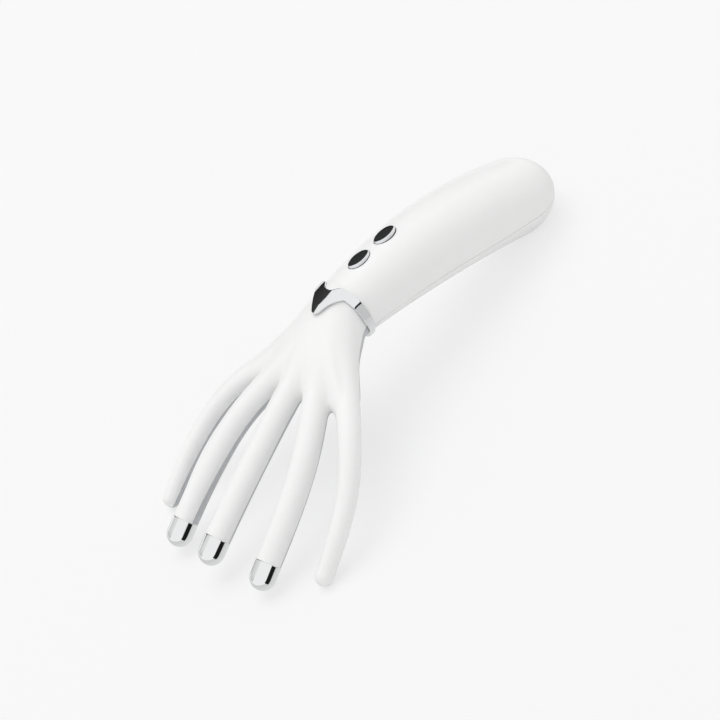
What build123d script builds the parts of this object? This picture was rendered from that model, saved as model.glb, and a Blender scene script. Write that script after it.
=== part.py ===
from build123d import *
import os
from math import cos, pi, radians, sin, tan

# Electric scalp massager: an arched handle, a collar ring and a hand with five fixed fingers.
# Millimetres, +Z up. +X runs from the handle to the fingertips and the buttons face up. The part rests
# on its two outer fingertips and the tail of the handle. Pieces of the hand are named after fingers: the
# index finger lies on the -Y side, the ring finger on the +Y side, thumb and little finger outside them.

os.makedirs("parts", exist_ok=True)

# ---- place of the neck, where handle, collar and hand meet
collar_x = -3.8
collar_height = 48.4
neck_slope = 6.8

# ---- handle
arch_radius = 280.0
handle_stations = [0.0, 24.5, 50.0, 75.5, 99.0]
handle_radii = [14.7, 17.0, 18.5, 18.9, 18.4]
tail_length = 24.0
handle_wall = 2.0
parting_drops = [7.0, 7.8, 8.2, 8.2, 5.5]
seam_height = 1.6
seam_thickness = 1.0

# ---- collar ring and its V tongue on the back of the hand
collar_width = 4.3
collar_proud = 0.4
collar_bore = 11.3
collar_edge_fillet = 0.35
notch_depth = 3.4
notch_half_width = 12.0
notch_skin = 1.4
tongue_length = 11.4
tongue_half_width = 8.8
tongue_thickness = 1.0
tongue_tip_fillet = 1.0
inlay_clearance = 0.08

# ---- neck coupling, a stepped tube that joins handle and hand through the collar
coupling_bore = 9.8
coupling_in_handle = 6.5
coupling_in_hand = 3.6
fit_clearance = 0.05

# ---- hand: palm stations as (ahead of the neck, above it, tilt, half width, half depth, cupping)
neck_half_width = 14.5
neck_half_depth = 14.1
palm_stations = [
    (10.3, -0.1, 2.0, 17.0, 12.6, 0.6),
    (22.3, -2.5, -6.0, 25.5, 10.6, 2.8),
    (33.3, -5.6, -13.0, 33.5, 8.4, 5.6),
    (40.3, -8.3, -17.0, 37.5, 5.6, 7.6),
    (44.3, -9.7, -17.0, 38.0, 2.4, 7.6),
]
palm_outline_points = 12
hand_wall = 1.7
palm_parting_drop = 2.6
finger_parting_drop = 2.0
cup_radius = 130.0

# ---- fingers: centre lines from the palm, as (ahead of the neck, to the side, above it)
middle_path = [(26.3, 0, -2.1), (49.3, 0, -8.6), (71.3, 0, -16.1), (90.3, 0, -23.2), (112.7, 0, -32.3)]
ring_path = [(28.3, 8, -3.5), (48.3, 17.5, -10.2), (64.3, 24.0, -16.4), (81.3, 27.6, -24.0),
             (98.3, 29.2, -31.7), (110.3, 29.6, -37.3)]
little_path = [(20.3, 14, -3.4), (36.3, 29.2, -10.2), (51.3, 41.2, -16.1), (68.3, 50.0, -25.6),
               (85.3, 53.5, -34.8), (102.1, 54.4, -44.3)]
inner_finger_radii = (6.4, 5.8)
outer_finger_radii = (5.7, 4.1)
finger_wall = 1.5
finger_sections = 6

# ---- electrode caps and their contact inserts
cap_radius = 5.95
cap_wall = 0.7
cap_straight = 6.7
insert_length = 5.0
insert_cap_length = 4.6

# ---- main board, buttons and switches
board_station = 22.7
board_slope = 5.8
board_depth = 9.3
board_length = 38.0
board_width = 19.0
board_thickness = 1.2
board_offset = -3.4
board_corner = 1.5
boss_spots = [(3.0, 7.2), (-19.0, 7.2)]
boss_radius = 2.0
button_pitch = 16.8
button_length = 12.2
button_width = 7.6
button_proud = 1.3
button_fillet = 1.0
button_clearance = 0.2
button_travel = 0.6
flange_margin = 0.8
flange_thickness = 0.8
sleeve_wall = 0.9
sleeve_gap = 0.1
stem_radius = 1.6
stem_length = 0.7
switch_size = 6.0
switch_height = 3.5
plunger_radius = 1.6
plunger_rise = 0.8
plunger_clearance = 0.1

# ---- parts soldered to the main board
chip_size = 7.0
chip_height = 0.9
chip_along = -6.0
transformer_size = 7.0
transformer_height = 5.5
transformer_along = 7.0
capacitor_radius = 2.6
capacitor_height = 7.0
capacitor_along = -13.5
capacitor_side = 5.4

# ---- charging port on the underside of the handle
port_station = 21.0
port_length = 9.0
port_width = 3.2
port_depth = 7.3
port_wall = 0.35
port_recess = 0.5
port_tongue_length = 6.6
port_tongue_width = 0.7
port_tongue_depth = 4.6
charge_board_length = 10.0
charge_board_width = 18.0
charge_boss_side = 7.0
slot_clearance = 0.15

# ---- cell and its cradle
cell_station = 80.0
cell_drop = 2.5
cell_radius = 9.2
cell_length = 50.0
cell_fillet = 0.8
cradle_wall = 1.1
cradle_clearance = 0.15
cradle_rib = 1.6
cradle_rib_count = 4
cradle_rib_pitch = 14.0
cradle_end = 1.2
strap_width = 8.0
strap_thickness = 0.5

# ---- vibration motor
motor_ahead = 19.0
motor_above = -2.6
motor_tilt = -10.0
motor_radius = 5.0
motor_length = 18.0
motor_wall = 0.5
motor_cap_thickness = 2.5
magnet_thickness = 0.6
magnet_length = 10.0
armature_gap = 0.3
armature_length = 9.0
shaft_radius = 1.0
shaft_overhang = 8.0
running_clearance = 0.03
bearing_radius = 2.2
weight_radius = 4.6
weight_hub_radius = 2.0
weight_length = 5.0
weight_gap = 1.5
motor_sleeve_wall = 1.05
motor_sleeve_length = 14.0
strap_ring = 1.1
bracket_length = 8.0
bracket_ear = 1.6
bracket_boss_side = 11.0

# ---- screws
screw_shaft = 0.9
screw_head = 1.8
screw_head_height = 1.2
screw_slot = 0.5
board_screw_length = 5.0
closing_screw_length = 9.0
head_clearance = 0.2
closing_boss_radius = 2.4
seat_thickness = 3.5
cover_front_along = -19.0
cover_front_seat = 23.5
cover_rear_station = 115.6
cover_rear_seat = 8.0
hand_screw_ahead = 31.0
hand_screw_side = 17.5
hand_screw_seat = 10.6
pilot_clearance = 0.02

# ---- leads, with routes through the palm as (ahead of the neck, to the side, above it)
lead_radius = 0.6
lead_drop = 4.0
front_pad_inset = 2.5
rear_pad_inset = 1.6
outer_pad_side = 6.2
middle_pad_side = 4.2
motor_pad_side = 1.8
motor_lead_reach = 6.0
charge_pad_side = 4.4
charge_pads = -1.0
cell_pad_side = 4.4
cell_lead_reach = 3.5
plus_side = 3.0
plus_height = 2.0
minus_side = 6.2
minus_height = 9.6
minus_sway = 1.2
outer_lead_path = [(1.5, 7.4, 0.2), (19.0, 8.0, -1.2)]
middle_lead_path = [(2.0, 6.0, 2.6), (19.0, 7.4, 1.4), (35.0, 6.6, -1.6)]


# =============================================================== frames and places
def handle_frame(distance, side=0.0, lift=0.0):
    """Plane on the handle's centre arc: local X points at the hand, local Z at the buttons."""
    start = radians(neck_slope)
    slope = start + distance / arch_radius
    along = Vector(cos(slope), 0, sin(slope))
    up = Vector(-sin(slope), 0, cos(slope))
    centre = Vector(
        collar_x - arch_radius * (sin(slope) - sin(start)),
        side,
        collar_height - arch_radius * (cos(start) - cos(slope)),
    )
    return Plane(centre + up * lift, x_dir=along, z_dir=up)


def across(frame):
    """Plane that cuts a frame square to its local X and looks along it."""
    return Plane(frame.origin, x_dir=frame.y_dir, z_dir=frame.x_dir)


def spot(frame, along=0.0, side=0.0, height=0.0):
    """The same frame, moved to a point given in its own axes."""
    place = frame.origin + frame.x_dir * along + frame.y_dir * side + frame.z_dir * height
    return Plane(place, x_dir=frame.x_dir, z_dir=frame.z_dir)


def tilted_frame(place, tilt):
    """Plane at a point whose local X rises towards the fingers by the tilt in degrees."""
    angle = radians(tilt)
    return Plane(place, x_dir=(cos(angle), 0, sin(angle)), z_dir=(-sin(angle), 0, cos(angle)))


def hand_point(ahead, side, above):
    return Vector(collar_x + ahead, side, collar_height + above)


neck_frame = handle_frame(0)
collar_front = spot(neck_frame, along=collar_width)
board_frame = tilted_frame(
    handle_frame(board_station, lift=handle_radii[1] - board_depth).origin, board_slope
)
board_underside = -board_thickness
port_frame = handle_frame(port_station)
cell_frame = handle_frame(cell_station, lift=-cell_drop)
motor_frame = tilted_frame(hand_point(motor_ahead, 0, motor_above), motor_tilt)


# =============================================================== outer forms
dome_align = (Align.CENTER, Align.CENTER, Align.MIN)


# Every shell, cavity and fitted piece is cut from these, each at its own inset from the outside.
def handle_form(inset=0.0):
    with BuildPart() as form:
        for distance, radius in zip(handle_stations, handle_radii):
            with BuildSketch(across(handle_frame(distance))):
                Circle(radius - inset)
        loft()
        tail = handle_frame(handle_stations[-1])
        with BuildSketch(Plane(tail.origin, x_dir=-tail.x_dir, z_dir=tail.y_dir)):
            with BuildLine():
                rim = EllipticalCenterArc(
                    (0, 0), tail_length - inset, handle_radii[-1] - inset, start_angle=0, arc_size=90
                )
                Polyline(rim @ 1, (0, 0), rim @ 0)
            make_face()
        revolve(axis=Axis(tail.origin, tail.x_dir))
    return form.part


def palm_outline(half_width, half_depth, cupping):
    angles = [2 * pi * step / palm_outline_points for step in range(palm_outline_points)]
    return [
        (half_width * cos(angle), half_depth * sin(angle) - cupping * cos(angle) ** 2)
        for angle in angles
    ]


def palm_form(inset=0.0, stations=palm_stations):
    slope = radians(neck_slope)
    neck_place = (collar_width * cos(slope), collar_width * sin(slope), neck_slope)
    neck_station = (*neck_place, neck_half_width, neck_half_depth, 0.0)
    with BuildPart() as form:
        for ahead, above, tilt, half_width, half_depth, cupping in [neck_station] + stations:
            with BuildSketch(across(tilted_frame(hand_point(ahead, 0, above), tilt))):
                with BuildLine():
                    Spline(*palm_outline(half_width - inset, half_depth - inset, cupping), periodic=True)
                make_face()
        loft()
    return form.part


def finger_line(path, hand_side):
    with BuildLine() as line:
        Spline(*[hand_point(ahead, side * hand_side, above) for ahead, side, above in path])
    return line.line


def finger_form(path, radii, hand_side, rounded_tip, inset=0.0):
    line = finger_line(path, hand_side)
    root_radius, tip_radius = radii
    with BuildPart() as form:
        for step in range(finger_sections):
            share = step / (finger_sections - 1)
            with BuildSketch(Plane(line @ share, x_dir=(0, 1, 0), z_dir=line % share)):
                Circle(root_radius + (tip_radius - root_radius) * share - inset)
        loft()
        if rounded_tip:
            with Locations(Plane(line @ 1, z_dir=line % 1)):
                Sphere(tip_radius - inset, arc_size1=0, align=dome_align)
    return form.part


fingers = {
    "thumb": (little_path, outer_finger_radii, -1, True),
    "index": (ring_path, inner_finger_radii, -1, False),
    "middle": (middle_path, inner_finger_radii, 1, False),
    "ring": (ring_path, inner_finger_radii, 1, False),
    "little": (little_path, outer_finger_radii, 1, True),
}
capped_fingers = ["index", "middle", "ring"]


def hand_form(palm, finger_inset=0.0):
    """Palm and fingers, joined in one step: joined one after the other, they can lose the palm."""
    digits = [finger_form(*finger, inset=finger_inset) for finger in fingers.values()]
    return palm.fuse(*digits)


handle_outside = handle_form()
handle_cavity = handle_form(handle_wall)
hand_outside = hand_form(palm_form())
hand_cavity = hand_form(palm_form(hand_wall, palm_stations[:-1]), finger_wall)

with BuildPart() as handle_walls:
    add(handle_outside)
    add(handle_cavity, mode=Mode.SUBTRACT)


# =============================================================== parting surfaces
def handle_parting_block(lift=0.0):
    """Everything under the handle's parting line, moved up by the lift."""
    reach = handle_radii[-1] + tail_length
    stations = [-reach] + handle_stations + [handle_stations[-1] + tail_length, handle_stations[-1] + reach]
    drops = [parting_drops[0]] + parting_drops + [0.0, 0.0]
    places = [handle_frame(station, lift=lift - drop).origin for station, drop in zip(stations, drops)]
    floor = collar_height - arch_radius
    with BuildPart() as block:
        with BuildSketch(Plane.XZ):
            with BuildLine():
                line = Spline(*[(place.X, place.Z) for place in places])
                Polyline(line @ 1, (places[-1].X, floor), (places[0].X, floor), line @ 0)
            make_face()
        extrude(amount=2 * handle_radii[-1], both=True)
    return block.part


def hand_parting_block():
    """A spindle below the hand; its surface parts the shells, lower towards the outer fingers."""
    crown = [(-2 * collar_width, -palm_parting_drop)]
    crown += [(ahead, above - palm_parting_drop) for ahead, above, *_ in palm_stations[:3:2]]
    crown += [(ahead, above - finger_parting_drop) for ahead, _, above in middle_path[1:]]
    last_ahead, last_above = crown[-1]
    crown.append((last_ahead + 4 * cap_radius, last_above - 2 * cap_radius))
    axle = Axis(hand_point(0, 0, -cup_radius), (1, 0, 0))
    with BuildPart() as block:
        with BuildSketch(Plane.XZ):
            with BuildLine():
                places = [hand_point(ahead, 0, above) for ahead, above in crown]
                line = Spline(*[(place.X, place.Z) for place in places])
                Polyline(
                    line @ 1, (places[-1].X, axle.position.Z), (places[0].X, axle.position.Z), line @ 0
                )
            make_face()
        revolve(axis=axle)
    return block.part


# =============================================================== shared small shapes
def finish(piece, name):
    """Label a finished piece and write it under its node name."""
    piece.part.label = name
    export_step(piece.part, f"parts/{name}.step")


def make_screws(frames, shaft_length):
    """Pan-head screws: each frame stands under the head with its local Z along the shaft."""
    with BuildPart() as screws:
        for frame in frames:
            with BuildSketch(spot(frame, height=-screw_head_height)):
                Circle(screw_head)
            extrude(amount=screw_head_height)
            with BuildSketch(frame):
                Circle(screw_shaft)
            extrude(amount=shaft_length)
            with BuildSketch(spot(frame, height=-screw_head_height)):
                Rectangle(2 * screw_head, screw_slot)
                Rectangle(screw_slot, 2 * screw_head)
            extrude(amount=screw_slot, mode=Mode.SUBTRACT)
    return screws


def lead_radii(points):
    """The largest bend radius that the two runs at each corner leave room for."""
    radii = []
    for before, corner, after in zip(points, points[1:], points[2:]):
        arriving = corner - before
        leaving = after - corner
        turn = radians(arriving.get_angle(leaving))
        radii.append(0.45 * min(arriving.length, leaving.length) / tan(turn / 2))
    return radii


def make_lead(routes, name):
    """Round insulated wires along straight runs joined by tangent arcs."""
    expected = 0.0
    with BuildPart() as lead:
        for points in routes:
            with BuildLine() as route:
                FilletPolyline(*points, radius=lead_radii(points))
            with BuildSketch(Plane(points[0], z_dir=points[1] - points[0])):
                Circle(lead_radius)
            sweep(path=route.wires()[0])
            expected += route.wires()[0].length * pi * lead_radius**2
    print(f"{name}: {lead.part.volume:.2f} mm3 swept, {expected:.2f} mm3 by length")
    finish(lead, name)


# =============================================================== collar ring
def notch_lip(clearance=0.0):
    """The handle's shallow lip that reaches into the back of the collar ring."""
    with BuildPart() as lip:
        with BuildSketch(neck_frame):
            with BuildLine():
                half_width = notch_half_width + clearance
                arc = ThreePointArc((0, -half_width), (notch_depth + clearance, 0), (0, half_width))
                Polyline(arc @ 1, (-clearance, half_width), (-clearance, -half_width), arc @ 0)
            make_face()
        extrude(amount=2 * handle_radii[0])
        with BuildSketch(across(spot(neck_frame, along=-collar_width))):
            Circle(handle_radii[0] + collar_proud + clearance)
        extrude(amount=3 * collar_width, mode=Mode.INTERSECT)
        with BuildSketch(across(spot(neck_frame, along=-collar_width))):
            Circle(handle_radii[0] - notch_skin - clearance)
        extrude(amount=3 * collar_width, mode=Mode.SUBTRACT)
    return lip.part


def tongue_prism(clearance=0.0):
    with BuildPart() as prism:
        with BuildSketch(collar_front):
            with BuildLine():
                Polyline(
                    (0, tongue_half_width + clearance),
                    (tongue_length + clearance, 0),
                    (0, -tongue_half_width - clearance),
                    close=True,
                )
            make_face()
            fillet(vertices().sort_by(Axis.X)[-1], radius=tongue_tip_fillet)
        extrude(amount=2 * handle_radii[0])
    return prism.part


with BuildPart() as collar_ring:
    with BuildSketch(across(neck_frame)):
        Circle(handle_radii[0] + collar_proud)
        Circle(collar_bore, mode=Mode.SUBTRACT)
    extrude(amount=collar_width)
    outer_rims = collar_ring.edges().filter_by(GeomType.CIRCLE).group_by(SortBy.RADIUS)[-1]
    fillet(outer_rims, radius=collar_edge_fillet)
    add(notch_lip(inlay_clearance), mode=Mode.SUBTRACT)

with BuildPart() as tongue_skin:
    add(palm_form(-collar_proud))
    add(palm_form(tongue_thickness - collar_proud), mode=Mode.SUBTRACT)
    add(tongue_prism(), mode=Mode.INTERSECT)

with BuildPart() as collar:
    add(collar_ring.part)
    add(tongue_skin.part)
finish(collar, "collar_ring")

with BuildPart() as neck_coupling:
    with BuildSketch(across(spot(neck_frame, along=-coupling_in_handle))):
        Circle(handle_radii[0] - handle_wall - fit_clearance)
    extrude(amount=coupling_in_handle)
    with BuildSketch(across(neck_frame)):
        Circle(collar_bore - fit_clearance)
    extrude(amount=collar_width + coupling_in_hand)
    with BuildSketch(across(spot(neck_frame, along=-coupling_in_handle))):
        Circle(coupling_bore)
    extrude(amount=coupling_in_handle + collar_width + coupling_in_hand, mode=Mode.SUBTRACT)
finish(neck_coupling, "neck_coupling")


# =============================================================== handle shells
button_places = {"mode": button_pitch / 2, "power": -button_pitch / 2}
stem_base = switch_height + plunger_rise
flange_base = stem_base + stem_length
flange_top = flange_base + flange_thickness
cap_top = board_depth + button_proud
front_closing_frame = spot(board_frame, along=cover_front_along, height=-cover_front_seat)
rear_closing_frame = spot(handle_frame(cover_rear_station), height=-cover_rear_seat)
closing_frames = [front_closing_frame, rear_closing_frame]
boss_frames = [
    spot(board_frame, along=along, side=side * hand_side)
    for along, side in boss_spots
    for hand_side in (-1, 1)
]
roof_reach = 3 * handle_radii[0]

with BuildPart() as top_bosses:
    for frame in boss_frames:
        with BuildSketch(frame):
            Circle(boss_radius)
        extrude(amount=roof_reach)
    for frame in closing_frames:
        with BuildSketch(spot(frame, height=seat_thickness)):
            Circle(closing_boss_radius)
        extrude(amount=roof_reach)
    for along in button_places.values():
        with BuildSketch(spot(board_frame, along=along, height=flange_top + sleeve_gap)):
            margin = button_clearance + sleeve_wall
            Ellipse(button_length / 2 + margin, button_width / 2 + margin)
        extrude(amount=roof_reach)
    add(handle_form(handle_wall / 2), mode=Mode.INTERSECT)

with BuildPart() as handle_top_shell:
    add(handle_walls.part)
    add(handle_parting_block(), mode=Mode.SUBTRACT)
    add(top_bosses.part)
    for along in button_places.values():
        with BuildSketch(spot(board_frame, along=along, height=flange_top)):
            Ellipse(button_length / 2 + button_clearance, button_width / 2 + button_clearance)
        extrude(amount=roof_reach, mode=Mode.SUBTRACT)
    for frame in boss_frames:
        with BuildSketch(frame):
            Circle(screw_shaft + pilot_clearance)
        extrude(amount=board_screw_length, mode=Mode.SUBTRACT)
    for frame in closing_frames:
        with BuildSketch(frame):
            Circle(screw_shaft + pilot_clearance)
        extrude(amount=closing_screw_length + pilot_clearance, mode=Mode.SUBTRACT)
    add(notch_lip())
finish(handle_top_shell, "handle_top_shell")

charge_board_base = handle_radii[1] - port_recess - port_depth
charge_boss_frames = [
    spot(port_frame, side=charge_boss_side * hand_side, height=-charge_board_base)
    for hand_side in (-1, 1)
]
with BuildPart() as cover_bosses:
    for frame in closing_frames:
        with BuildSketch(spot(frame, height=seat_thickness)):
            Circle(closing_boss_radius)
        extrude(amount=-roof_reach)
    for frame in charge_boss_frames:
        with BuildSketch(frame):
            Circle(boss_radius)
        extrude(amount=-roof_reach)
    add(handle_form(handle_wall / 2), mode=Mode.INTERSECT)

with BuildPart() as handle_bottom_cover:
    add(handle_walls.part)
    add(handle_parting_block(), mode=Mode.INTERSECT)
    add(cover_bosses.part)
    for frame in closing_frames:
        with BuildSketch(frame):
            Circle(screw_head + head_clearance)
        extrude(amount=-roof_reach, mode=Mode.SUBTRACT)
        with BuildSketch(frame):
            Circle(screw_shaft + pilot_clearance)
        extrude(amount=seat_thickness, mode=Mode.SUBTRACT)
    for frame in charge_boss_frames:
        with BuildSketch(frame):
            Circle(screw_shaft + pilot_clearance)
        extrude(amount=-board_screw_length, mode=Mode.SUBTRACT)
    with BuildSketch(spot(port_frame, height=-charge_board_base)):
        RectangleRounded(
            port_width + 2 * slot_clearance, port_length + 2 * slot_clearance, port_width / 2
        )
    extrude(amount=-roof_reach, mode=Mode.SUBTRACT)
finish(handle_bottom_cover, "handle_bottom_cover")

with BuildPart() as seam_gasket:
    add(handle_cavity)
    add(handle_form(handle_wall + seam_thickness), mode=Mode.SUBTRACT)
    add(handle_parting_block(seam_height / 2), mode=Mode.INTERSECT)
    add(handle_parting_block(-seam_height / 2), mode=Mode.SUBTRACT)
    with BuildSketch(across(spot(neck_frame, along=-coupling_in_handle - fit_clearance))):
        Circle(roof_reach)
    extrude(amount=roof_reach, mode=Mode.SUBTRACT)
finish(seam_gasket, "handle_seam_gasket")


# =============================================================== hand shells
hand_closing_frames = [
    Plane(hand_point(hand_screw_ahead, hand_screw_side * hand_side, -hand_screw_seat), x_dir=(1, 0, 0))
    for hand_side in (-1, 1)
]
bracket_frames = [spot(motor_frame, side=bracket_boss_side * hand_side) for hand_side in (-1, 1)]

# The hollow of the hand leaves out the screw posts, which so grow from wall to wall.
with BuildPart() as hand_hollow:
    add(hand_cavity)
    for frame in hand_closing_frames:
        with BuildSketch(frame):
            Circle(closing_boss_radius)
        extrude(amount=roof_reach, both=True, mode=Mode.SUBTRACT)
    for frame in bracket_frames:
        with BuildSketch(frame):
            Circle(boss_radius)
        extrude(amount=roof_reach, mode=Mode.SUBTRACT)

with BuildPart() as hand_walls:
    add(hand_outside)
    add(hand_hollow.part, mode=Mode.SUBTRACT)
    for frame in hand_closing_frames:
        with BuildSketch(frame):
            Circle(screw_head + head_clearance)
        extrude(amount=-roof_reach, mode=Mode.SUBTRACT)
        with BuildSketch(frame):
            Circle(screw_shaft + pilot_clearance)
        extrude(amount=closing_screw_length + pilot_clearance, mode=Mode.SUBTRACT)
    for frame in bracket_frames:
        with BuildSketch(frame):
            Circle(screw_shaft + pilot_clearance)
        extrude(amount=board_screw_length, mode=Mode.SUBTRACT)

with BuildPart() as tongue_recess:
    add(tongue_prism(inlay_clearance))
    add(palm_form(tongue_thickness - collar_proud + inlay_clearance), mode=Mode.SUBTRACT)

with BuildPart() as hand_top_shell:
    add(hand_walls.part)
    add(hand_parting_block(), mode=Mode.SUBTRACT)
    add(tongue_recess.part, mode=Mode.SUBTRACT)
finish(hand_top_shell, "hand_top_shell")

with BuildPart() as hand_bottom_shell:
    add(hand_walls.part)
    add(hand_parting_block(), mode=Mode.INTERSECT)
finish(hand_bottom_shell, "hand_bottom_shell")


# =============================================================== electrode caps, inserts
insert_frames = {}
for name in capped_fingers:
    path, radii, hand_side, _ = fingers[name]
    line = finger_line(path, hand_side)
    seat = Plane(line @ 1, z_dir=line % 1)
    bore = radii[1] - finger_wall
    insert_frames[name] = seat

    with BuildPart() as cap:
        with BuildSketch(seat):
            Circle(cap_radius)
        extrude(amount=cap_straight)
        with Locations(seat.offset(cap_straight)):
            Sphere(cap_radius, arc_size1=0, align=dome_align)
        with BuildSketch(seat):
            Circle(cap_radius - cap_wall)
        extrude(amount=cap_straight, mode=Mode.SUBTRACT)
        with Locations(seat.offset(cap_straight)):
            Sphere(cap_radius - cap_wall, arc_size1=0, align=dome_align, mode=Mode.SUBTRACT)
    finish(cap, f"electrode_cap_{name}")

    with BuildPart() as insert:
        with BuildSketch(seat):
            Circle(cap_radius - cap_wall - fit_clearance)
        extrude(amount=insert_cap_length)
        with BuildSketch(seat):
            Circle(bore - 2 * fit_clearance)
        extrude(amount=-insert_length)
    finish(insert, f"contact_insert_{name}")


# =============================================================== main board and its parts
with BuildPart() as main_board:
    with BuildSketch(spot(board_frame, along=board_offset)):
        RectangleRounded(board_length, board_width, board_corner)
    extrude(amount=-board_thickness)
    for frame in boss_frames:
        with BuildSketch(frame):
            Circle(screw_shaft + pilot_clearance)
        extrude(amount=-board_thickness, mode=Mode.SUBTRACT)
    with BuildSketch(spot(board_frame, along=cover_front_along)):
        Circle(closing_boss_radius + head_clearance)
    extrude(amount=-board_thickness, mode=Mode.SUBTRACT)
finish(main_board, "main_board")

board_screw_frames = [spot(frame, height=board_underside) for frame in boss_frames]
board_screws = make_screws(board_screw_frames, board_screw_length)
finish(board_screws, "board_screws")

with BuildPart() as controller_chip:
    with BuildSketch(spot(board_frame, along=chip_along, height=board_underside)):
        Rectangle(chip_size, chip_size)
    extrude(amount=-chip_height)
finish(controller_chip, "controller_chip")

with BuildPart() as pulse_transformer:
    with BuildSketch(spot(board_frame, along=transformer_along, height=board_underside)):
        RectangleRounded(transformer_size, transformer_size, transformer_size / 8)
    extrude(amount=-transformer_height)
finish(pulse_transformer, "pulse_transformer")

with BuildPart() as filter_capacitor:
    with BuildSketch(spot(board_frame, capacitor_along, capacitor_side, board_underside)):
        Circle(capacitor_radius)
    extrude(amount=-capacitor_height)
finish(filter_capacitor, "filter_capacitor")


# =============================================================== buttons and tact switches
for name, along in button_places.items():
    with BuildPart() as switch:
        with BuildSketch(spot(board_frame, along=along)):
            Rectangle(switch_size, switch_size)
        extrude(amount=switch_height)
        with BuildSketch(spot(board_frame, along=along, height=switch_height)):
            Circle(plunger_radius + plunger_clearance)
        extrude(amount=-button_travel - plunger_rise, mode=Mode.SUBTRACT)
    finish(switch, f"{name}_switch")

    with BuildPart() as plunger:
        with BuildSketch(spot(board_frame, along=along, height=switch_height - plunger_rise / 2)):
            Circle(plunger_radius)
        extrude(amount=1.5 * plunger_rise)
    finish(plunger, f"{name}_switch_plunger")

    with BuildPart() as button:
        with BuildSketch(spot(board_frame, along=along, height=flange_top)):
            Ellipse(button_length / 2, button_width / 2)
        extrude(amount=cap_top - flange_top)
        fillet(button.edges().sort_by(Axis(board_frame.origin, board_frame.z_dir))[-1], radius=button_fillet)
        with BuildSketch(spot(board_frame, along=along, height=flange_base)):
            Ellipse(button_length / 2 + flange_margin, button_width / 2 + flange_margin)
        extrude(amount=flange_thickness)
        with BuildSketch(spot(board_frame, along=along, height=stem_base)):
            Circle(stem_radius)
        extrude(amount=stem_length)
    finish(button, f"{name}_button")


# =============================================================== charging port
charge_board_frame = spot(port_frame, height=-charge_board_base)
with BuildPart() as charge_board:
    with BuildSketch(charge_board_frame):
        RectangleRounded(charge_board_length, charge_board_width, board_corner)
    extrude(amount=board_thickness)
    for frame in charge_boss_frames:
        with BuildSketch(frame):
            Circle(screw_shaft + pilot_clearance)
        extrude(amount=board_thickness, mode=Mode.SUBTRACT)
finish(charge_board, "charge_board")

charge_screw_frames = [
    Plane(frame.origin + frame.z_dir * board_thickness, x_dir=frame.x_dir, z_dir=-frame.z_dir)
    for frame in charge_boss_frames
]
charge_screws = make_screws(charge_screw_frames, board_screw_length)
finish(charge_screws, "charge_board_screws")

with BuildPart() as port_shell:
    with BuildSketch(charge_board_frame):
        RectangleRounded(port_width, port_length, port_width / 2 - port_wall)
    extrude(amount=-port_depth)
    with BuildSketch(spot(charge_board_frame, height=-port_wall)):
        RectangleRounded(
            port_width - 2 * port_wall, port_length - 2 * port_wall, port_width / 2 - 2 * port_wall
        )
    extrude(amount=-port_depth, mode=Mode.SUBTRACT)
finish(port_shell, "charge_port_shell")

with BuildPart() as port_tongue:
    with BuildSketch(spot(charge_board_frame, height=-port_wall)):
        Rectangle(port_tongue_width, port_tongue_length)
    extrude(amount=-port_tongue_depth)
finish(port_tongue, "charge_port_tongue")


# =============================================================== cell and cradle
with BuildPart() as battery_cell:
    with BuildSketch(across(spot(cell_frame, along=-cell_length / 2))):
        Circle(cell_radius)
    extrude(amount=cell_length)
    fillet(battery_cell.edges().filter_by(GeomType.CIRCLE), radius=cell_fillet)
finish(battery_cell, "battery_cell")

cradle_inner = cell_radius + cradle_clearance
cradle_outer = cradle_inner + cradle_wall
cradle_length = cell_length + 2 * cradle_clearance + 2 * cradle_end
with BuildPart() as battery_cradle:
    with BuildSketch(across(spot(cell_frame, along=-cradle_length / 2))):
        Circle(cradle_outer)
    extrude(amount=cradle_length)
    for rib in range(cradle_rib_count):
        offset_along = (rib - (cradle_rib_count - 1) / 2) * cradle_rib_pitch
        with BuildSketch(spot(cell_frame, along=offset_along)):
            Rectangle(cradle_rib, 2 * cradle_outer)
        extrude(amount=-roof_reach)
    with BuildSketch(cell_frame):
        Rectangle(2 * cell_length, roof_reach)
    extrude(amount=-roof_reach, mode=Mode.INTERSECT)
    add(handle_cavity, mode=Mode.INTERSECT)
    with BuildSketch(across(spot(cell_frame, along=cradle_end - cradle_length / 2))):
        Circle(cradle_inner)
    extrude(amount=cradle_length - 2 * cradle_end, mode=Mode.SUBTRACT)
finish(battery_cradle, "battery_cradle")

with BuildPart() as cell_strap:
    with BuildSketch(across(spot(cell_frame, along=-strap_width / 2))):
        Circle(cell_radius + cradle_clearance + strap_thickness)
        Circle(cell_radius + cradle_clearance, mode=Mode.SUBTRACT)
    extrude(amount=strap_width)
    with BuildSketch(cell_frame):
        Rectangle(2 * cell_length, roof_reach)
    extrude(amount=roof_reach, mode=Mode.INTERSECT)
finish(cell_strap, "cell_strap")


# =============================================================== vibration motor
motor_back = spot(motor_frame, along=-motor_length / 2)
motor_front = spot(motor_frame, along=motor_length / 2)
can_bore = motor_radius - motor_wall
magnet_bore = can_bore - magnet_thickness
bearing_length = 2 * motor_wall

with BuildPart() as motor_can:
    with BuildSketch(across(motor_back)):
        Circle(motor_radius)
    extrude(amount=motor_length)
    with BuildSketch(across(motor_back)):
        Circle(can_bore)
    extrude(amount=motor_length - motor_wall, mode=Mode.SUBTRACT)
    with BuildSketch(across(motor_front)):
        Circle(bearing_radius)
    extrude(amount=-motor_wall, mode=Mode.SUBTRACT)
finish(motor_can, "motor_can")

with BuildPart() as motor_bearing:
    with BuildSketch(across(spot(motor_front, along=-motor_wall))):
        Circle(bearing_radius)
        Circle(shaft_radius + running_clearance, mode=Mode.SUBTRACT)
    extrude(amount=bearing_length)
finish(motor_bearing, "motor_bearing")

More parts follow.
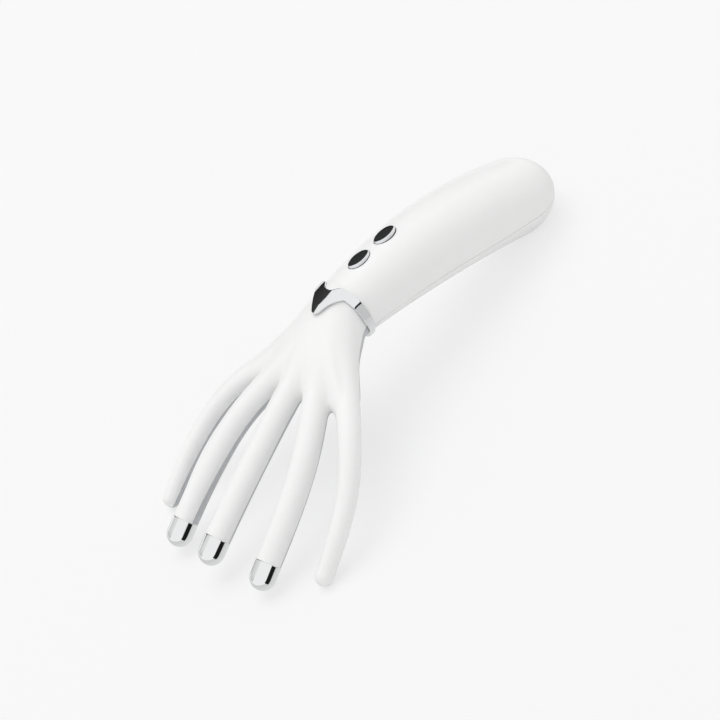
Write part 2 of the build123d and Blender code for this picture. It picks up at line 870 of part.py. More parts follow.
with BuildPart() as motor_end_cap:
    with BuildSketch(across(motor_back)):
        Circle(can_bore)
    extrude(amount=motor_cap_thickness)
    with BuildSketch(across(spot(motor_back, along=motor_cap_thickness))):
        Circle(shaft_radius + running_clearance)
    extrude(amount=-motor_cap_thickness + motor_wall, mode=Mode.SUBTRACT)
finish(motor_end_cap, "motor_end_cap")

with BuildPart() as motor_magnet:
    with BuildSketch(across(spot(motor_frame, along=-magnet_length / 2))):
        Circle(can_bore)
        Circle(magnet_bore, mode=Mode.SUBTRACT)
    extrude(amount=magnet_length)
finish(motor_magnet, "motor_magnet")

with BuildPart() as motor_armature:
    with BuildSketch(across(spot(motor_frame, along=-armature_length / 2))):
        Circle(magnet_bore - armature_gap)
        Circle(shaft_radius, mode=Mode.SUBTRACT)
    extrude(amount=armature_length)
finish(motor_armature, "motor_armature")

with BuildPart() as motor_shaft:
    with BuildSketch(across(spot(motor_back, along=motor_wall + fit_clearance))):
        Circle(shaft_radius)
    extrude(amount=motor_length - motor_wall - fit_clearance + shaft_overhang)
finish(motor_shaft, "motor_shaft")

weight_back = spot(motor_front, along=weight_gap + bearing_length - motor_wall)
with BuildPart() as eccentric_weight:
    with BuildSketch(across(weight_back)):
        Circle(weight_radius)
        Rectangle(2 * weight_radius, weight_radius, align=(Align.CENTER, Align.MIN), mode=Mode.SUBTRACT)
        Circle(weight_hub_radius)
        Circle(shaft_radius, mode=Mode.SUBTRACT)
    extrude(amount=weight_length)
finish(eccentric_weight, "eccentric_weight")

sleeve_outer = motor_radius + fit_clearance + motor_sleeve_wall
with BuildPart() as motor_sleeve:
    with BuildSketch(across(spot(motor_frame, along=-motor_sleeve_length / 2))):
        Circle(sleeve_outer)
        Circle(motor_radius + fit_clearance, mode=Mode.SUBTRACT)
    extrude(amount=motor_sleeve_length)
finish(motor_sleeve, "motor_sleeve")

bracket_bore = sleeve_outer + fit_clearance
with BuildPart() as motor_bracket:
    with BuildSketch(across(spot(motor_frame, along=-bracket_length / 2))):
        Circle(bracket_bore + strap_ring)
        Rectangle(
            2 * (bracket_boss_side + boss_radius), bracket_ear, align=(Align.CENTER, Align.MAX)
        )
        Circle(bracket_bore, mode=Mode.SUBTRACT)
        Rectangle(2 * roof_reach, roof_reach, align=(Align.CENTER, Align.MIN), mode=Mode.SUBTRACT)
    extrude(amount=bracket_length)
    for frame in bracket_frames:
        with BuildSketch(frame):
            Circle(screw_shaft + pilot_clearance)
        extrude(amount=-bracket_ear, mode=Mode.SUBTRACT)
finish(motor_bracket, "motor_bracket")

bracket_screw_frames = [spot(frame, height=-bracket_ear) for frame in bracket_frames]
bracket_screws = make_screws(bracket_screw_frames, board_screw_length)
finish(bracket_screws, "bracket_screws")


# =============================================================== closing screws
cover_screws = make_screws(closing_frames, closing_screw_length)
finish(cover_screws, "cover_screws")
hand_screws = make_screws(hand_closing_frames, closing_screw_length)
finish(hand_screws, "hand_screws")


# =============================================================== leads
front_pads = board_offset + board_length / 2 - front_pad_inset
rear_pads = board_offset - board_length / 2 + rear_pad_inset


def board_pad(side, along):
    """A pad under the main board, and the point straight below it where its lead turns."""
    return [spot(board_frame, along, side, board_underside - drop).origin for drop in (0.0, lead_drop)]


def insert_back(name):
    return insert_frames[name].offset(-insert_length).origin


def hand_route(path, hand_side=1):
    return [hand_point(ahead, side * hand_side, above) for ahead, side, above in path]


for name, hand_side in (("index", -1), ("ring", 1)):
    points = board_pad(outer_pad_side * hand_side, front_pads)
    points += hand_route(outer_lead_path + ring_path[:-1], hand_side)
    points.append(insert_back(name))
    make_lead([points], f"electrode_lead_{name}")

middle_points = board_pad(middle_pad_side, front_pads)
middle_points += hand_route(middle_lead_path + middle_path[1:-1])
middle_points.append(insert_back("middle"))
make_lead([middle_points], "electrode_lead_middle")

motor_routes = []
for side in (-motor_pad_side, motor_pad_side):
    points = [spot(motor_back, along=-reach, side=side).origin for reach in (0.0, motor_lead_reach)]
    motor_routes.append(points + board_pad(side, front_pads)[::-1])
make_lead(motor_routes, "motor_leads")

charge_routes = []
for side in (-charge_pad_side, charge_pad_side):
    points = [
        spot(charge_board_frame, side=side, height=board_thickness + rise).origin
        for rise in (0.0, lead_drop)
    ]
    charge_routes.append(points + board_pad(side, charge_pads)[::-1])
make_lead(charge_routes, "charge_leads")

cell_front = spot(cell_frame, along=cell_length / 2)
cell_tail = spot(cell_frame, along=-cell_length / 2)
plus_route = [
    spot(cell_front, along=reach, side=plus_side, height=plus_height).origin
    for reach in (0.0, cell_lead_reach)
]
minus_route = [
    spot(cell_tail, along=-reach, side=-minus_side, height=plus_height).origin
    for reach in (0.0, cell_lead_reach)
]
minus_route += [
    spot(cell_tail, side=-minus_side, height=minus_height).origin,
    spot(cell_frame, side=-minus_side - minus_sway, height=minus_height).origin,
    spot(cell_front, along=cell_lead_reach, side=-minus_side, height=minus_height).origin,
]
cell_routes = [
    plus_route + board_pad(cell_pad_side, rear_pads)[::-1],
    minus_route + board_pad(-cell_pad_side, rear_pads)[::-1],
]
make_lead(cell_routes, "battery_leads")
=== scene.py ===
"""The looks of an electric scalp massager: a white hand with chrome fingertips on an arched handle.

Lengths in the classes are millimetres, as in the part's own source, and `MM` turns them into metres.
Points are in the part's own frame, or in the axes of a place: ahead is towards the fingertips, and above is
away from the floor. The neck's place is the middle of the collar's rear face.
"""

import logging
from dataclasses import dataclass
from enum import Enum
from math import cos, pi, radians, sin
from typing import Callable, ClassVar, Sequence

import bpy
import numpy as np
from mathutils import Matrix, Vector


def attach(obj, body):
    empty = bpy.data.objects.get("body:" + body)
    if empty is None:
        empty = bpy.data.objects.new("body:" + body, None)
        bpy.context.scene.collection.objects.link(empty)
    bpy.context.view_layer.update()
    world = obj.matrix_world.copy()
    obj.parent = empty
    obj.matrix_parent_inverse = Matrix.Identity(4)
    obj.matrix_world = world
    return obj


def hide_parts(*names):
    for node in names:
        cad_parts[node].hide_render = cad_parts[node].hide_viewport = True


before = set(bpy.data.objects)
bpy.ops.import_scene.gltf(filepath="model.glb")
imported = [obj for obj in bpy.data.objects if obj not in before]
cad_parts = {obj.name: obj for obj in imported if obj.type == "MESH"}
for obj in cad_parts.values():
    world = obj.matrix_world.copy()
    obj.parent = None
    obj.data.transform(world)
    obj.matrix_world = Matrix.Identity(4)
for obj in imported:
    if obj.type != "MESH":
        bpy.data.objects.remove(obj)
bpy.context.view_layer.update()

LOG = logging.getLogger("massager")
MM = 0.001
WELD = 2e-6  # metres; points closer than this become one
LIP_ANGLE = radians(50)  # edges sharper than this are rounded
FAR_AWAY = 30.0  # what a field says where nothing is near
LEAST_SLOPE = 0.05  # keeps steps short where a field is nearly flat
NEWTON_ROUNDS = 5  # enough to find the nearest point of a curve
NECK_AHEAD = -3.8
NECK_HEIGHT = 48.4
NECK_SLOPE = radians(6.8)
BOARD_ALONG = 22.7
BOARD_ABOVE = 7.7
BOARD_SLOPE = radians(5.8)

Field = Callable[[np.ndarray], np.ndarray]


class Body(Enum):
    """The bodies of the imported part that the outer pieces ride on."""

    MASSAGER = "massager_body"
    POWER = "power_press"
    MODE = "mode_press"


# ------------------------------------------------------------------ curves and frames
class Spline:
    """A natural cubic through values given at rising stations."""

    def __init__(self, stations: Sequence[float], values: Sequence) -> None:
        """Fits the cubic.

        Args:
            stations: Rising positions of the given values.
            values: One number or one point for each station.
        """
        self.x = np.asarray(stations, float)
        self.y = np.asarray(values, float).reshape(len(self.x), -1)
        gaps = np.diff(self.x)
        count = len(self.x)
        system = np.eye(count)
        right = np.zeros_like(self.y)
        for i in range(1, count - 1):
            system[i, i - 1:i + 2] = gaps[i - 1], 2 * (gaps[i - 1] + gaps[i]), gaps[i]
            slopes = np.diff(self.y[i - 1:i + 2], axis=0) / gaps[i - 1:i + 1, None]
            right[i] = 6 * (slopes[1] - slopes[0])
        self.bend = np.linalg.solve(system, right)

    def __call__(self, at: np.ndarray, order: int = 0) -> np.ndarray:
        """Evaluates the cubic or one of its derivatives, straight beyond its ends.

        Args:
            at: Positions along the stations.
            order: 0 for the value, 1 for the slope, 2 for the second derivative.

        Returns:
            One row for each position.
        """
        at = np.atleast_1d(np.asarray(at, float))
        held = np.clip(at, self.x[0], self.x[-1])
        i = np.clip(np.searchsorted(self.x, held) - 1, 0, len(self.x) - 2)
        gap = (self.x[i + 1] - self.x[i])[:, None]
        a = (self.x[i + 1] - held)[:, None] / gap
        b = 1 - a
        low, high, bend_low, bend_high = self.y[i], self.y[i + 1], self.bend[i], self.bend[i + 1]
        if order == 2:
            return a * bend_low + b * bend_high
        slope = (high - low) / gap + ((3 * b**2 - 1) * bend_high - (3 * a**2 - 1) * bend_low) * gap / 6
        if order == 1:
            return slope
        value = a * low + b * high + ((a**3 - a) * bend_low + (b**3 - b) * bend_high) * gap**2 / 6
        return value + slope * (at - held)[:, None]


def chord_spline(points: Sequence) -> Spline:
    """A cubic through points, with the length of the chords as its stations.

    Args:
        points: The points in order.

    Returns:
        The cubic.
    """
    points = np.asarray(points, float)
    steps = np.linalg.norm(np.diff(points, axis=0), axis=1)
    return Spline(np.concatenate([[0.0], np.cumsum(steps)]), points)


def smooth_step(value: np.ndarray) -> np.ndarray:
    """Rises smoothly from 0 to 1 as the value does."""
    held = np.clip(value, 0, 1)
    return held * held * (3 - 2 * held)


def smooth_least(first: np.ndarray, second: np.ndarray, reach: float | np.ndarray) -> np.ndarray:
    """The lesser of two distances, rounded where they are closer than the reach."""
    share = np.maximum(reach - np.abs(first - second), 0) / reach
    return np.minimum(first, second) - share * share * reach / 4


def unit(rows: np.ndarray) -> np.ndarray:
    """The rows scaled to length one."""
    return rows / np.maximum(np.linalg.norm(rows, axis=-1, keepdims=True), 1e-9)


def gradient(distance: Field, points: np.ndarray, step: float = 0.02) -> np.ndarray:
    """The slope of a field at points, by central differences.

    Args:
        distance: The field.
        points: Where its slope is asked for.
        step: How far to each side the field is read.

    Returns:
        One vector for each point.
    """
    slopes = np.empty_like(points)
    for axis in range(3):
        shift = np.zeros(3)
        shift[axis] = step
        slopes[:, axis] = (distance(points + shift) - distance(points - shift)) / (2 * step)
    return slopes


def settle(
    points: np.ndarray, distance: Field, rounds: int = 3, held: np.ndarray | None = None
) -> np.ndarray:
    """Moves points onto the surface where a field is zero.

    Args:
        points: The points.
        distance: The field.
        rounds: How often each point takes a step.
        held: A direction that the points don't move in.

    Returns:
        The moved points.
    """
    points = points.copy()
    for _ in range(rounds):
        slopes = gradient(distance, points)
        if held is not None:
            slopes -= (slopes @ held)[:, None] * held
        size = np.maximum((slopes**2).sum(1), LEAST_SLOPE)
        points -= slopes * (distance(points) / size)[:, None]
    return points


# ------------------------------------------------------------------ meshes
@dataclass
class Skin:
    """An open or closed surface of polygons, in millimetres of the part's frame.

    A cut that passes closer to a corner than SNAP, as a share of the edge, goes through that corner. HALVINGS
    says how closely a cut is found.
    """

    SNAP: ClassVar[float] = 0.18
    HALVINGS: ClassVar[int] = 14

    points: np.ndarray
    faces: list[tuple[int, ...]]

    def used(self) -> "Skin":
        """Drops the points that no face uses.

        Returns:
            The same skin without them.
        """
        keep = sorted({corner for face in self.faces for corner in face})
        place = {old: new for new, old in enumerate(keep)}
        return Skin(self.points[keep], [tuple(place[c] for c in face) for face in self.faces])

    def relax(self, surface: Field, rounds: int) -> None:
        """Evens out the polygons while they stay on the surface.

        Args:
            surface: Distance from the surface.
            rounds: How often each point moves towards its neighbours.
        """
        pairs = np.array([(f[i], f[(i + 1) % len(f)]) for f in self.faces for i in range(len(f))])
        pairs = np.concatenate([pairs, pairs[:, ::-1]])
        count = np.bincount(pairs[:, 0], minlength=len(self.points))[:, None]
        for _ in range(rounds):
            total = np.zeros_like(self.points)
            for axis in range(3):
                total[:, axis] = np.bincount(
                    pairs[:, 0], self.points[pairs[:, 1], axis], minlength=len(self.points)
                )
            self.points = settle(0.5 * self.points + 0.5 * total / count, surface, 1)
        self.points = settle(self.points, surface)

    def split(self, edge_field: Field) -> tuple["Skin", "Skin"]:
        """Cuts the skin along the line where a field is zero.

        Args:
            edge_field: Positive on one side of the cut and negative on the other.

        Returns:
            The part where the field is positive, and the part where it is negative.
        """
        points = self.points.copy()
        values = edge_field(points)
        crossing = set()
        for face in self.faces:
            for i, low in enumerate(face):
                high = face[(i + 1) % len(face)]
                if values[low] * values[high] < 0:
                    crossing.add((min(low, high), max(low, high)))
        if not crossing:
            return (self, Skin(points[:0], [])) if values.mean() > 0 else (Skin(points[:0], []), self)
        pairs = np.array(sorted(crossing))
        near, far = np.zeros(len(pairs)), np.ones(len(pairs))
        start, end = points[pairs[:, 0]], points[pairs[:, 1]]
        sign = np.sign(values[pairs[:, 0]])
        for _ in range(self.HALVINGS):
            middle = (near + far) / 2
            same = edge_field(start + (end - start) * middle[:, None]) * sign > 0
            near, far = np.where(same, middle, near), np.where(same, far, middle)
        share = (near + far) / 2
        spots = start + (end - start) * share[:, None]
        snapped = {}
        for (low, high), t, place in zip(pairs, share, spots):
            if min(t, 1 - t) < self.SNAP:
                snapped.setdefault(low if t < 0.5 else high, []).append(place)
        for corner, places in snapped.items():
            points[corner] = np.mean(places, axis=0)
            values[corner] = 0.0
        made = {}
        fresh = []
        for (low, high), place in zip(map(tuple, pairs), spots):
            if values[low] * values[high] < 0:
                made[low, high] = len(points) + len(fresh)
                fresh.append(place)
        points = np.concatenate([points, np.array(fresh).reshape(-1, 3)])
        sides = {1: [], -1: []}
        for face in self.faces:
            for way in (1, -1):
                corners, inside = [], False
                for i, low in enumerate(face):
                    high = face[(i + 1) % len(face)]
                    if values[low] * way >= 0:
                        corners.append(low)
                        inside = inside or values[low] != 0
                    if values[low] * values[high] < 0:
                        corners.append(made[min(low, high), max(low, high)])
                if inside and len(corners) > 2:
                    sides[way].append(tuple(corners))
        return Skin(points, sides[1]).used(), Skin(points, sides[-1]).used()

    def parted(self, seam: Field, gap: float) -> tuple["Skin", "Skin"]:
        """The skins above and below a seam, each half the gap away from it."""
        half = gap / 2
        return self.split(lambda p: seam(p) - half)[0], self.split(lambda p: seam(p) + half)[1]

    def turned(self) -> "Skin":
        """The same skin, facing the other way."""
        return Skin(self.points, [face[::-1] for face in self.faces])

    def faces_away(self, face: int, centre: np.ndarray) -> bool:
        """Whether one of the faces looks away from a centre."""
        a, b, c = self.points[list(self.faces[face][:3])]
        return bool(np.cross(b - a, c - b) @ (a - centre) >= 0)

    def make(self, name: str) -> bpy.types.Object:
        """Makes the skin a smooth mesh object, in metres.

        Args:
            name: Name of the object and of its mesh.

        Returns:
            The object, linked to the scene.
        """
        mesh = bpy.data.meshes.new(name)
        mesh.from_pydata((self.points * MM).tolist(), [], self.faces)
        mesh.validate()
        mesh.polygons.foreach_set("use_smooth", [True] * len(mesh.polygons))
        piece = bpy.data.objects.new(name, mesh)
        bpy.context.scene.collection.objects.link(piece)
        return piece


def grid_skin(rows: np.ndarray, closed: bool = False) -> Skin:
    """Quads over a grid of points.

    Args:
        rows: The points, as rows by columns by three.
        closed: Whether the last column joins the first.

    Returns:
        The skin.
    """
    height, width = rows.shape[:2]
    across = width if closed else width - 1
    faces = [
        (r * width + c, r * width + (c + 1) % width, (r + 1) * width + (c + 1) % width, (r + 1) * width + c)
        for r in range(height - 1)
        for c in range(across)
    ]
    return Skin(rows.reshape(-1, 3), faces)


def surface_net(distance: Field, low: Sequence[float], high: Sequence[float], step: float) -> Skin:
    """Quads around the inside of a distance field, one point in each cell that the surface crosses.

    Args:
        distance: Negative inside, positive outside.
        low: Lowest corner of the block that is searched.
        high: Highest corner of the block.
        step: Size of the cells.

    Returns:
        A closed skin that faces outwards.
    """
    axes = [np.arange(a, b + step, step) for a, b in zip(low, high)]
    grid = np.stack(np.meshgrid(*axes, indexing="ij"), -1)
    shape = grid.shape[:3]
    values = distance(grid.reshape(-1, 3)).reshape(shape)
    cells = tuple(n - 1 for n in shape)
    total, count = np.zeros(cells + (3,)), np.zeros(cells)
    for axis in range(3):
        ahead = [slice(None)] * 3
        behind = [slice(None)] * 3
        ahead[axis], behind[axis] = slice(1, None), slice(None, -1)
        start, end = values[tuple(behind)], values[tuple(ahead)]
        crossed = (start < 0) != (end < 0)
        share = np.where(crossed, start / np.where(crossed, start - end, 1), 0)
        spots = grid[tuple(behind)] + share[..., None] * step * np.eye(3)[axis]
        others = [a for a in range(3) if a != axis]
        for first in (0, 1):
            for second in (0, 1):
                window = [slice(None)] * 3
                window[others[0]] = slice(first, cells[others[0]] + first)
                window[others[1]] = slice(second, cells[others[1]] + second)
                mask = crossed[tuple(window)]
                total += spots[tuple(window)] * mask[..., None]
                count += mask
    filled = count > 0
    number = np.full(cells, -1)
    number[filled] = np.arange(filled.sum())
    faces = []
    for axis in range(3):
        others = [(axis + 1) % 3, (axis + 2) % 3]
        behind, ahead = [slice(1, -1)] * 3, [slice(1, -1)] * 3
        behind[axis], ahead[axis] = slice(None, -1), slice(1, None)
        inside_first = values[tuple(behind)] < 0
        crossed = inside_first != (values[tuple(ahead)] < 0)
        spots = np.argwhere(crossed)
        base = spots.copy()
        base[:, others] += 1
        ring = []
        for first, second in ((0, 0), (1, 0), (1, 1), (0, 1)):
            cell = base.copy()
            cell[:, others[0]] -= first
            cell[:, others[1]] -= second
            ring.append(number[tuple(cell.T)])
        quads = np.stack(ring, 1)
        turned = ~inside_first[crossed]
        quads[turned] = quads[turned][:, ::-1]
        faces += [tuple(q) for q in quads.tolist()]
    return Skin(total[filled] / count[filled][:, None], faces)


def shell(skin: Skin, name: str, wall: float, lip: float) -> bpy.types.Object:
    """Gives an open skin its wall and rounds the edges of its rim.

    Args:
        skin: The outer surface, facing outwards.
        name: Name of the piece.
        wall: Thickness of the wall, inwards.
        lip: Radius at the rim.

    Returns:
        The closed shell, with its modifiers applied.
    """
    piece = skin.make(name)
    solid = piece.modifiers.new("wall", "SOLIDIFY")
    solid.thickness = wall * MM
    solid.offset = -1
    solid.use_even_offset = False
    bevel = piece.modifiers.new("lip", "BEVEL")
    bevel.width = lip * MM
    bevel.segments = 2
    bevel.limit_method = "ANGLE"
    bevel.angle_limit = LIP_ANGLE
    bevel.use_clamp_overlap = True
    return applied(piece)


def applied(piece: bpy.types.Object) -> bpy.types.Object:
    """Turns what a piece's modifiers make into its own plain mesh, and removes them.

    Args:
        piece: The object.

    Returns:
        The same object.
    """
    graph = bpy.context.evaluated_depsgraph_get()
    mesh = bpy.data.meshes.new_from_object(piece.evaluated_get(graph))
    piece.modifiers.clear()
    old, piece.data = piece.data, mesh
    bpy.data.meshes.remove(old)
    piece.data.name = piece.name
    return piece


def seat(piece: bpy.types.Object, body: Body, slot: str, *nodes: str) -> None:
    """Rides a piece on its body and hides the nodes that it stands for.

    Args:
        piece: The finished piece.
        body: The body it moves with.
        slot: A name for its finish; not used.
        *nodes: The CAD nodes that it replaces.
    """
    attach(piece, body.value)
    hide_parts(*nodes)
    LOG.info("%s: %d faces on %s", piece.name, len(piece.data.polygons), body.value)


# ------------------------------------------------------------------ finishes
@dataclass(frozen=True)
class Noise:
    """How fine a noise texture is, in how many octaves, and how much finer along each axis."""

    scale: float
    detail: float
    stretch: tuple[float, float, float] = (1.0, 1.0, 1.0)


class Nodes:
    """A short way to write a material's node tree."""

    def __init__(self, name: str) -> None:
        """Starts an empty material with its output and Object coordinates.

        Args:
            name: Name of the material.
        """
        self.material = bpy.data.materials.new(name)
        self.material.use_nodes = True
        self.tree = self.material.node_tree
        self.tree.nodes.clear()
        self.output = self.tree.nodes.new("ShaderNodeOutputMaterial")
        self.shader = self.add("ShaderNodeBsdfPrincipled")
        self.join(self.shader, "BSDF", self.output, "Surface")
        self.coordinates = self.add("ShaderNodeTexCoord")

    def tune(self, node: bpy.types.Node, **settings: object) -> bpy.types.Node:
        """Sets a node's values.

        Args:
            node: The node.
            **settings: Values for its inputs, with underscores for spaces, or for its own properties.

        Returns:
            The same node.
        """
        for key, value in settings.items():
            label = key.replace("_", " ")
            if label in node.inputs:
                node.inputs[label].default_value = value
            else:
                setattr(node, key, value)
        return node

    def add(self, kind: str, **settings: object) -> bpy.types.Node:
        """A new node with the given values."""
        return self.tune(self.tree.nodes.new(kind), **settings)

    def join(self, source: bpy.types.Node, out: str, target: bpy.types.Node, into: str) -> None:
        """Links an output to an input, both by name."""
        self.tree.links.new(source.outputs[out], target.inputs[into])

    def placed(self, kind: str, stretch: tuple[float, ...] = (1, 1, 1), **settings: object) -> bpy.types.Node:
        """Adds a texture that lies still on the object.

        Args:
            kind: Its Blender type.
            stretch: How much finer it is along each axis.
            **settings: Values for its inputs or properties.

        Returns:
            The texture's node.
        """
        texture = self.add(kind, **settings)
        mapping = self.add("ShaderNodeMapping", Scale=stretch)
        self.join(self.coordinates, "Object", mapping, "Vector")
        self.join(mapping, "Vector", texture, "Vector")
        return texture

    def noise(self, look: Noise) -> bpy.types.Node:
        """A noise texture as fine as a finish asks for."""
        return self.placed("ShaderNodeTexNoise", look.stretch, Scale=look.scale, Detail=look.detail)

    def ranged(self, source: bpy.types.Node, out: str, low: float, high: float) -> bpy.types.Node:
        """Maps an output from 0..1 to a range.

        Args:
            source: The node that has the output.
            out: Name of the output.
            low: What 0 becomes.
            high: What 1 becomes.

        Returns:
            The mapping's node.
        """
        node = self.add("ShaderNodeMapRange", To_Min=low, To_Max=high)
        self.join(source, out, node, "Value")
        return node

    def bumped(self, source: bpy.types.Node, out: str, height: float) -> None:
        """Uses an output as a bump.

        Args:
            source: The node that has the output.
            out: Name of the output.
            height: Height of the bump, in metres.
        """
        bump = self.add("ShaderNodeBump", Strength=1.0, Distance=height)
        self.join(source, out, bump, "Height")
        self.join(bump, "Normal", self.shader, "Normal")

    def toned(self, source: bpy.types.Node, out: str, tones: Sequence[tuple[float, ...]]) -> None:
        """Colours the surface by an output.

        Args:
            source: The node that has the output.
            out: Name of the output.
            tones: Colours for evenly spaced values from 0 to 1.
        """
        ramp = self.add("ShaderNodeValToRGB")
        stops = ramp.color_ramp.elements
        while len(stops) < len(tones):
            stops.new(0.5)
        for i, tone in enumerate(tones):
            stops[i].position = i / (len(tones) - 1)
            stops[i].color = (*tone, 1.0)
        self.join(source, out, ramp, "Fac")
        self.join(ramp, "Color", self.shader, "Base Color")


@dataclass(frozen=True)
class Finish:
    """What every finish has; each kind of surface adds its own pattern.

    Tints darken or lighten the colour, and gloss does the same to the roughness.
    """

    name: str
    colour: tuple[float, float, float]
    roughness: float = 0.4
    metallic: ClassVar[float] = 0.0
    tints: ClassVar[tuple[float, ...]]
    gloss: ClassVar[tuple[float, float]]

    def shade(self, factor: float) -> tuple[float, ...]:
        """The finish's colour, darker or lighter by a factor."""
        return tuple(min(1.0, c * factor) for c in self.colour)

    def build(self) -> bpy.types.Material:
        """Makes the material.

        Returns:
            The material with its pattern.
        """
        nodes = Nodes(self.name)
        nodes.tune(nodes.shader, Roughness=self.roughness, Metallic=self.metallic)
        self.dress(nodes)
        return nodes.material

    def dress(self, nodes: Nodes) -> None:
        """Adds the pattern; each kind of finish has its own."""
        raise NotImplementedError

    def vary_tone(self, nodes: Nodes, texture: bpy.types.Node, out: str = "Fac") -> None:
        """Lets a texture vary the colour."""
        nodes.toned(texture, out, [self.shade(tint) for tint in self.tints])

    def vary_gloss(self, nodes: Nodes, texture: bpy.types.Node) -> None:
        """Lets a texture vary the roughness."""
        gloss = nodes.ranged(texture, "Fac", *(self.roughness * share for share in self.gloss))
        nodes.join(gloss, "Result", nodes.shader, "Roughness")


@dataclass(frozen=True)
class PolishedPlastic(Finish):
    """Injection-moulded plastic with a polished skin, faint flow marks and a trace of handling."""

    coat: float = 0.4
    relief: float = 2.0e-6
    tints: ClassVar[tuple[float, ...]] = (0.985, 1.0, 1.01)
    gloss: ClassVar[tuple[float, float]] = (0.8, 1.25)
    refraction: ClassVar[float] = 1.5
    coat_roughness: ClassVar[float] = 0.12
    flow: ClassVar[Noise] = Noise(28.0, 3.0, (1.0, 1.6, 1.0))
    wear: ClassVar[Noise] = Noise(160.0, 5.0)
    ripple: ClassVar[Noise] = Noise(420.0, 2.0)

    def dress(self, nodes: Nodes) -> None:
        """Mixes soft clouds into colour, gloss and surface height.

        Args:
            nodes: The material's nodes.
        """
        nodes.tune(nodes.shader, IOR=self.refraction)
        nodes.tune(nodes.shader, Coat_Weight=self.coat, Coat_Roughness=self.coat_roughness)
        self.vary_tone(nodes, nodes.noise(self.flow))
        self.vary_gloss(nodes, nodes.noise(self.wear))
        nodes.bumped(nodes.noise(self.ripple), "Fac", self.relief)


@dataclass(frozen=True)
class MirrorPlate(Finish):
    """Bright plating with hairline polishing marks."""

    relief: float = 4.0e-7
    metallic: ClassVar[float] = 1.0
    tints: ClassVar[tuple[float, ...]] = (0.97, 1.0)
    gloss: ClassVar[tuple[float, float]] = (0.6, 1.5)
    haze: ClassVar[Noise] = Noise(90.0, 4.0)
    lines: ClassVar[Noise] = Noise(700.0, 2.0, (0.08, 1.0, 1.0))

    def dress(self, nodes: Nodes) -> None:
        """Clouds the colour a little, and varies gloss and height along the polishing direction.

        Args:
            nodes: The material's nodes.
        """
        self.vary_tone(nodes, nodes.noise(self.haze))
        lines = nodes.noise(self.lines)
        self.vary_gloss(nodes, lines)
        nodes.bumped(lines, "Fac", self.relief)


@dataclass(frozen=True)
class DrawnMetal(Finish):
    """Stamped, drawn or turned metal with fine lines along one axis."""

    lines: Noise = Noise(1600.0, 3.0, (0.05, 1.0, 1.0))
    metallic: ClassVar[float] = 1.0
    tints: ClassVar[tuple[float, ...]] = (0.75, 1.0, 1.1)
    gloss: ClassVar[tuple[float, float]] = (0.7, 1.4)
    relief: ClassVar[float] = 4.0e-6

    def dress(self, nodes: Nodes) -> None:
        """Adds the lines to colour, gloss and surface height.

        Args:
            nodes: The material's nodes.
        """
        lines = nodes.noise(self.lines)
        self.vary_tone(nodes, lines)
        self.vary_gloss(nodes, lines)
        nodes.bumped(lines, "Fac", self.relief)


@dataclass(frozen=True)
class MouldedPlastic(Finish):
    """Matt plastic, rubber or resin with a fine eroded grain."""

    grain: float = 1200.0
    tints: ClassVar[tuple[float, ...]] = (0.8, 1.0, 1.08)
    relief: ClassVar[float] = 1.2e-5

    def dress(self, nodes: Nodes) -> None:
        """Adds the grain to colour and surface height.

        Args:
            nodes: The material's nodes.
        """
        pits = nodes.placed("ShaderNodeTexVoronoi", Scale=self.grain)
        self.vary_tone(nodes, pits, "Distance")
        nodes.bumped(pits, "Distance", self.relief)


@dataclass(frozen=True)
class CircuitBoard(Finish):
    """Solder resist over a weave of glass and over copper tracks."""

    track: tuple[float, float, float] = (0.02, 0.16, 0.07)
    fineness: ClassVar[float] = 260.0
    glint: ClassVar[float] = 1.25
    relief: ClassVar[float] = 2.0e-5

    def dress(self, nodes: Nodes) -> None:
        """Lays square-cornered tracks under the resist.

        Args:
            nodes: The material's nodes.
        """
        tones = [(*tone, 1.0) for tone in (self.colour, self.shade(self.glint), self.track)]
        tracks = nodes.placed(
            "ShaderNodeTexBrick", Scale=self.fineness, Color1=tones[0], Color2=tones[1], Mortar=tones[2]
        )
        nodes.join(tracks, "Color", nodes.shader, "Base Color")
        nodes.bumped(tracks, "Fac", self.relief)


@dataclass(frozen=True)
class WoundCopper(Finish):
    """Enamelled wire wound in close turns, with painted shade between the turns and a painted highlight on
    their crests.
    """

    metallic: ClassVar[float] = 0.8
    # the dark tint is painted shade in the grooves between turns, and the light tint is a painted highlight
    # on their crests
    tints: ClassVar[tuple[float, ...]] = (0.45, 1.0, 1.2)
    fineness: ClassVar[float] = 900.0
    unevenness: ClassVar[float] = 0.4
    relief: ClassVar[float] = 6.0e-5

    def dress(self, nodes: Nodes) -> None:
        """Adds the turns as bands across the winding: raised in the bump, with painted shade in the grooves
        and a painted highlight on the crests.

        Args:
            nodes: The material's nodes.
        """
        turns = nodes.placed("ShaderNodeTexWave", Scale=self.fineness, Distortion=self.unevenness)
        # painted shade and highlight: the colour follows the bump's bands, dark in the grooves and light on
        # the crests
        self.vary_tone(nodes, turns)
        nodes.bumped(turns, "Fac", self.relief)


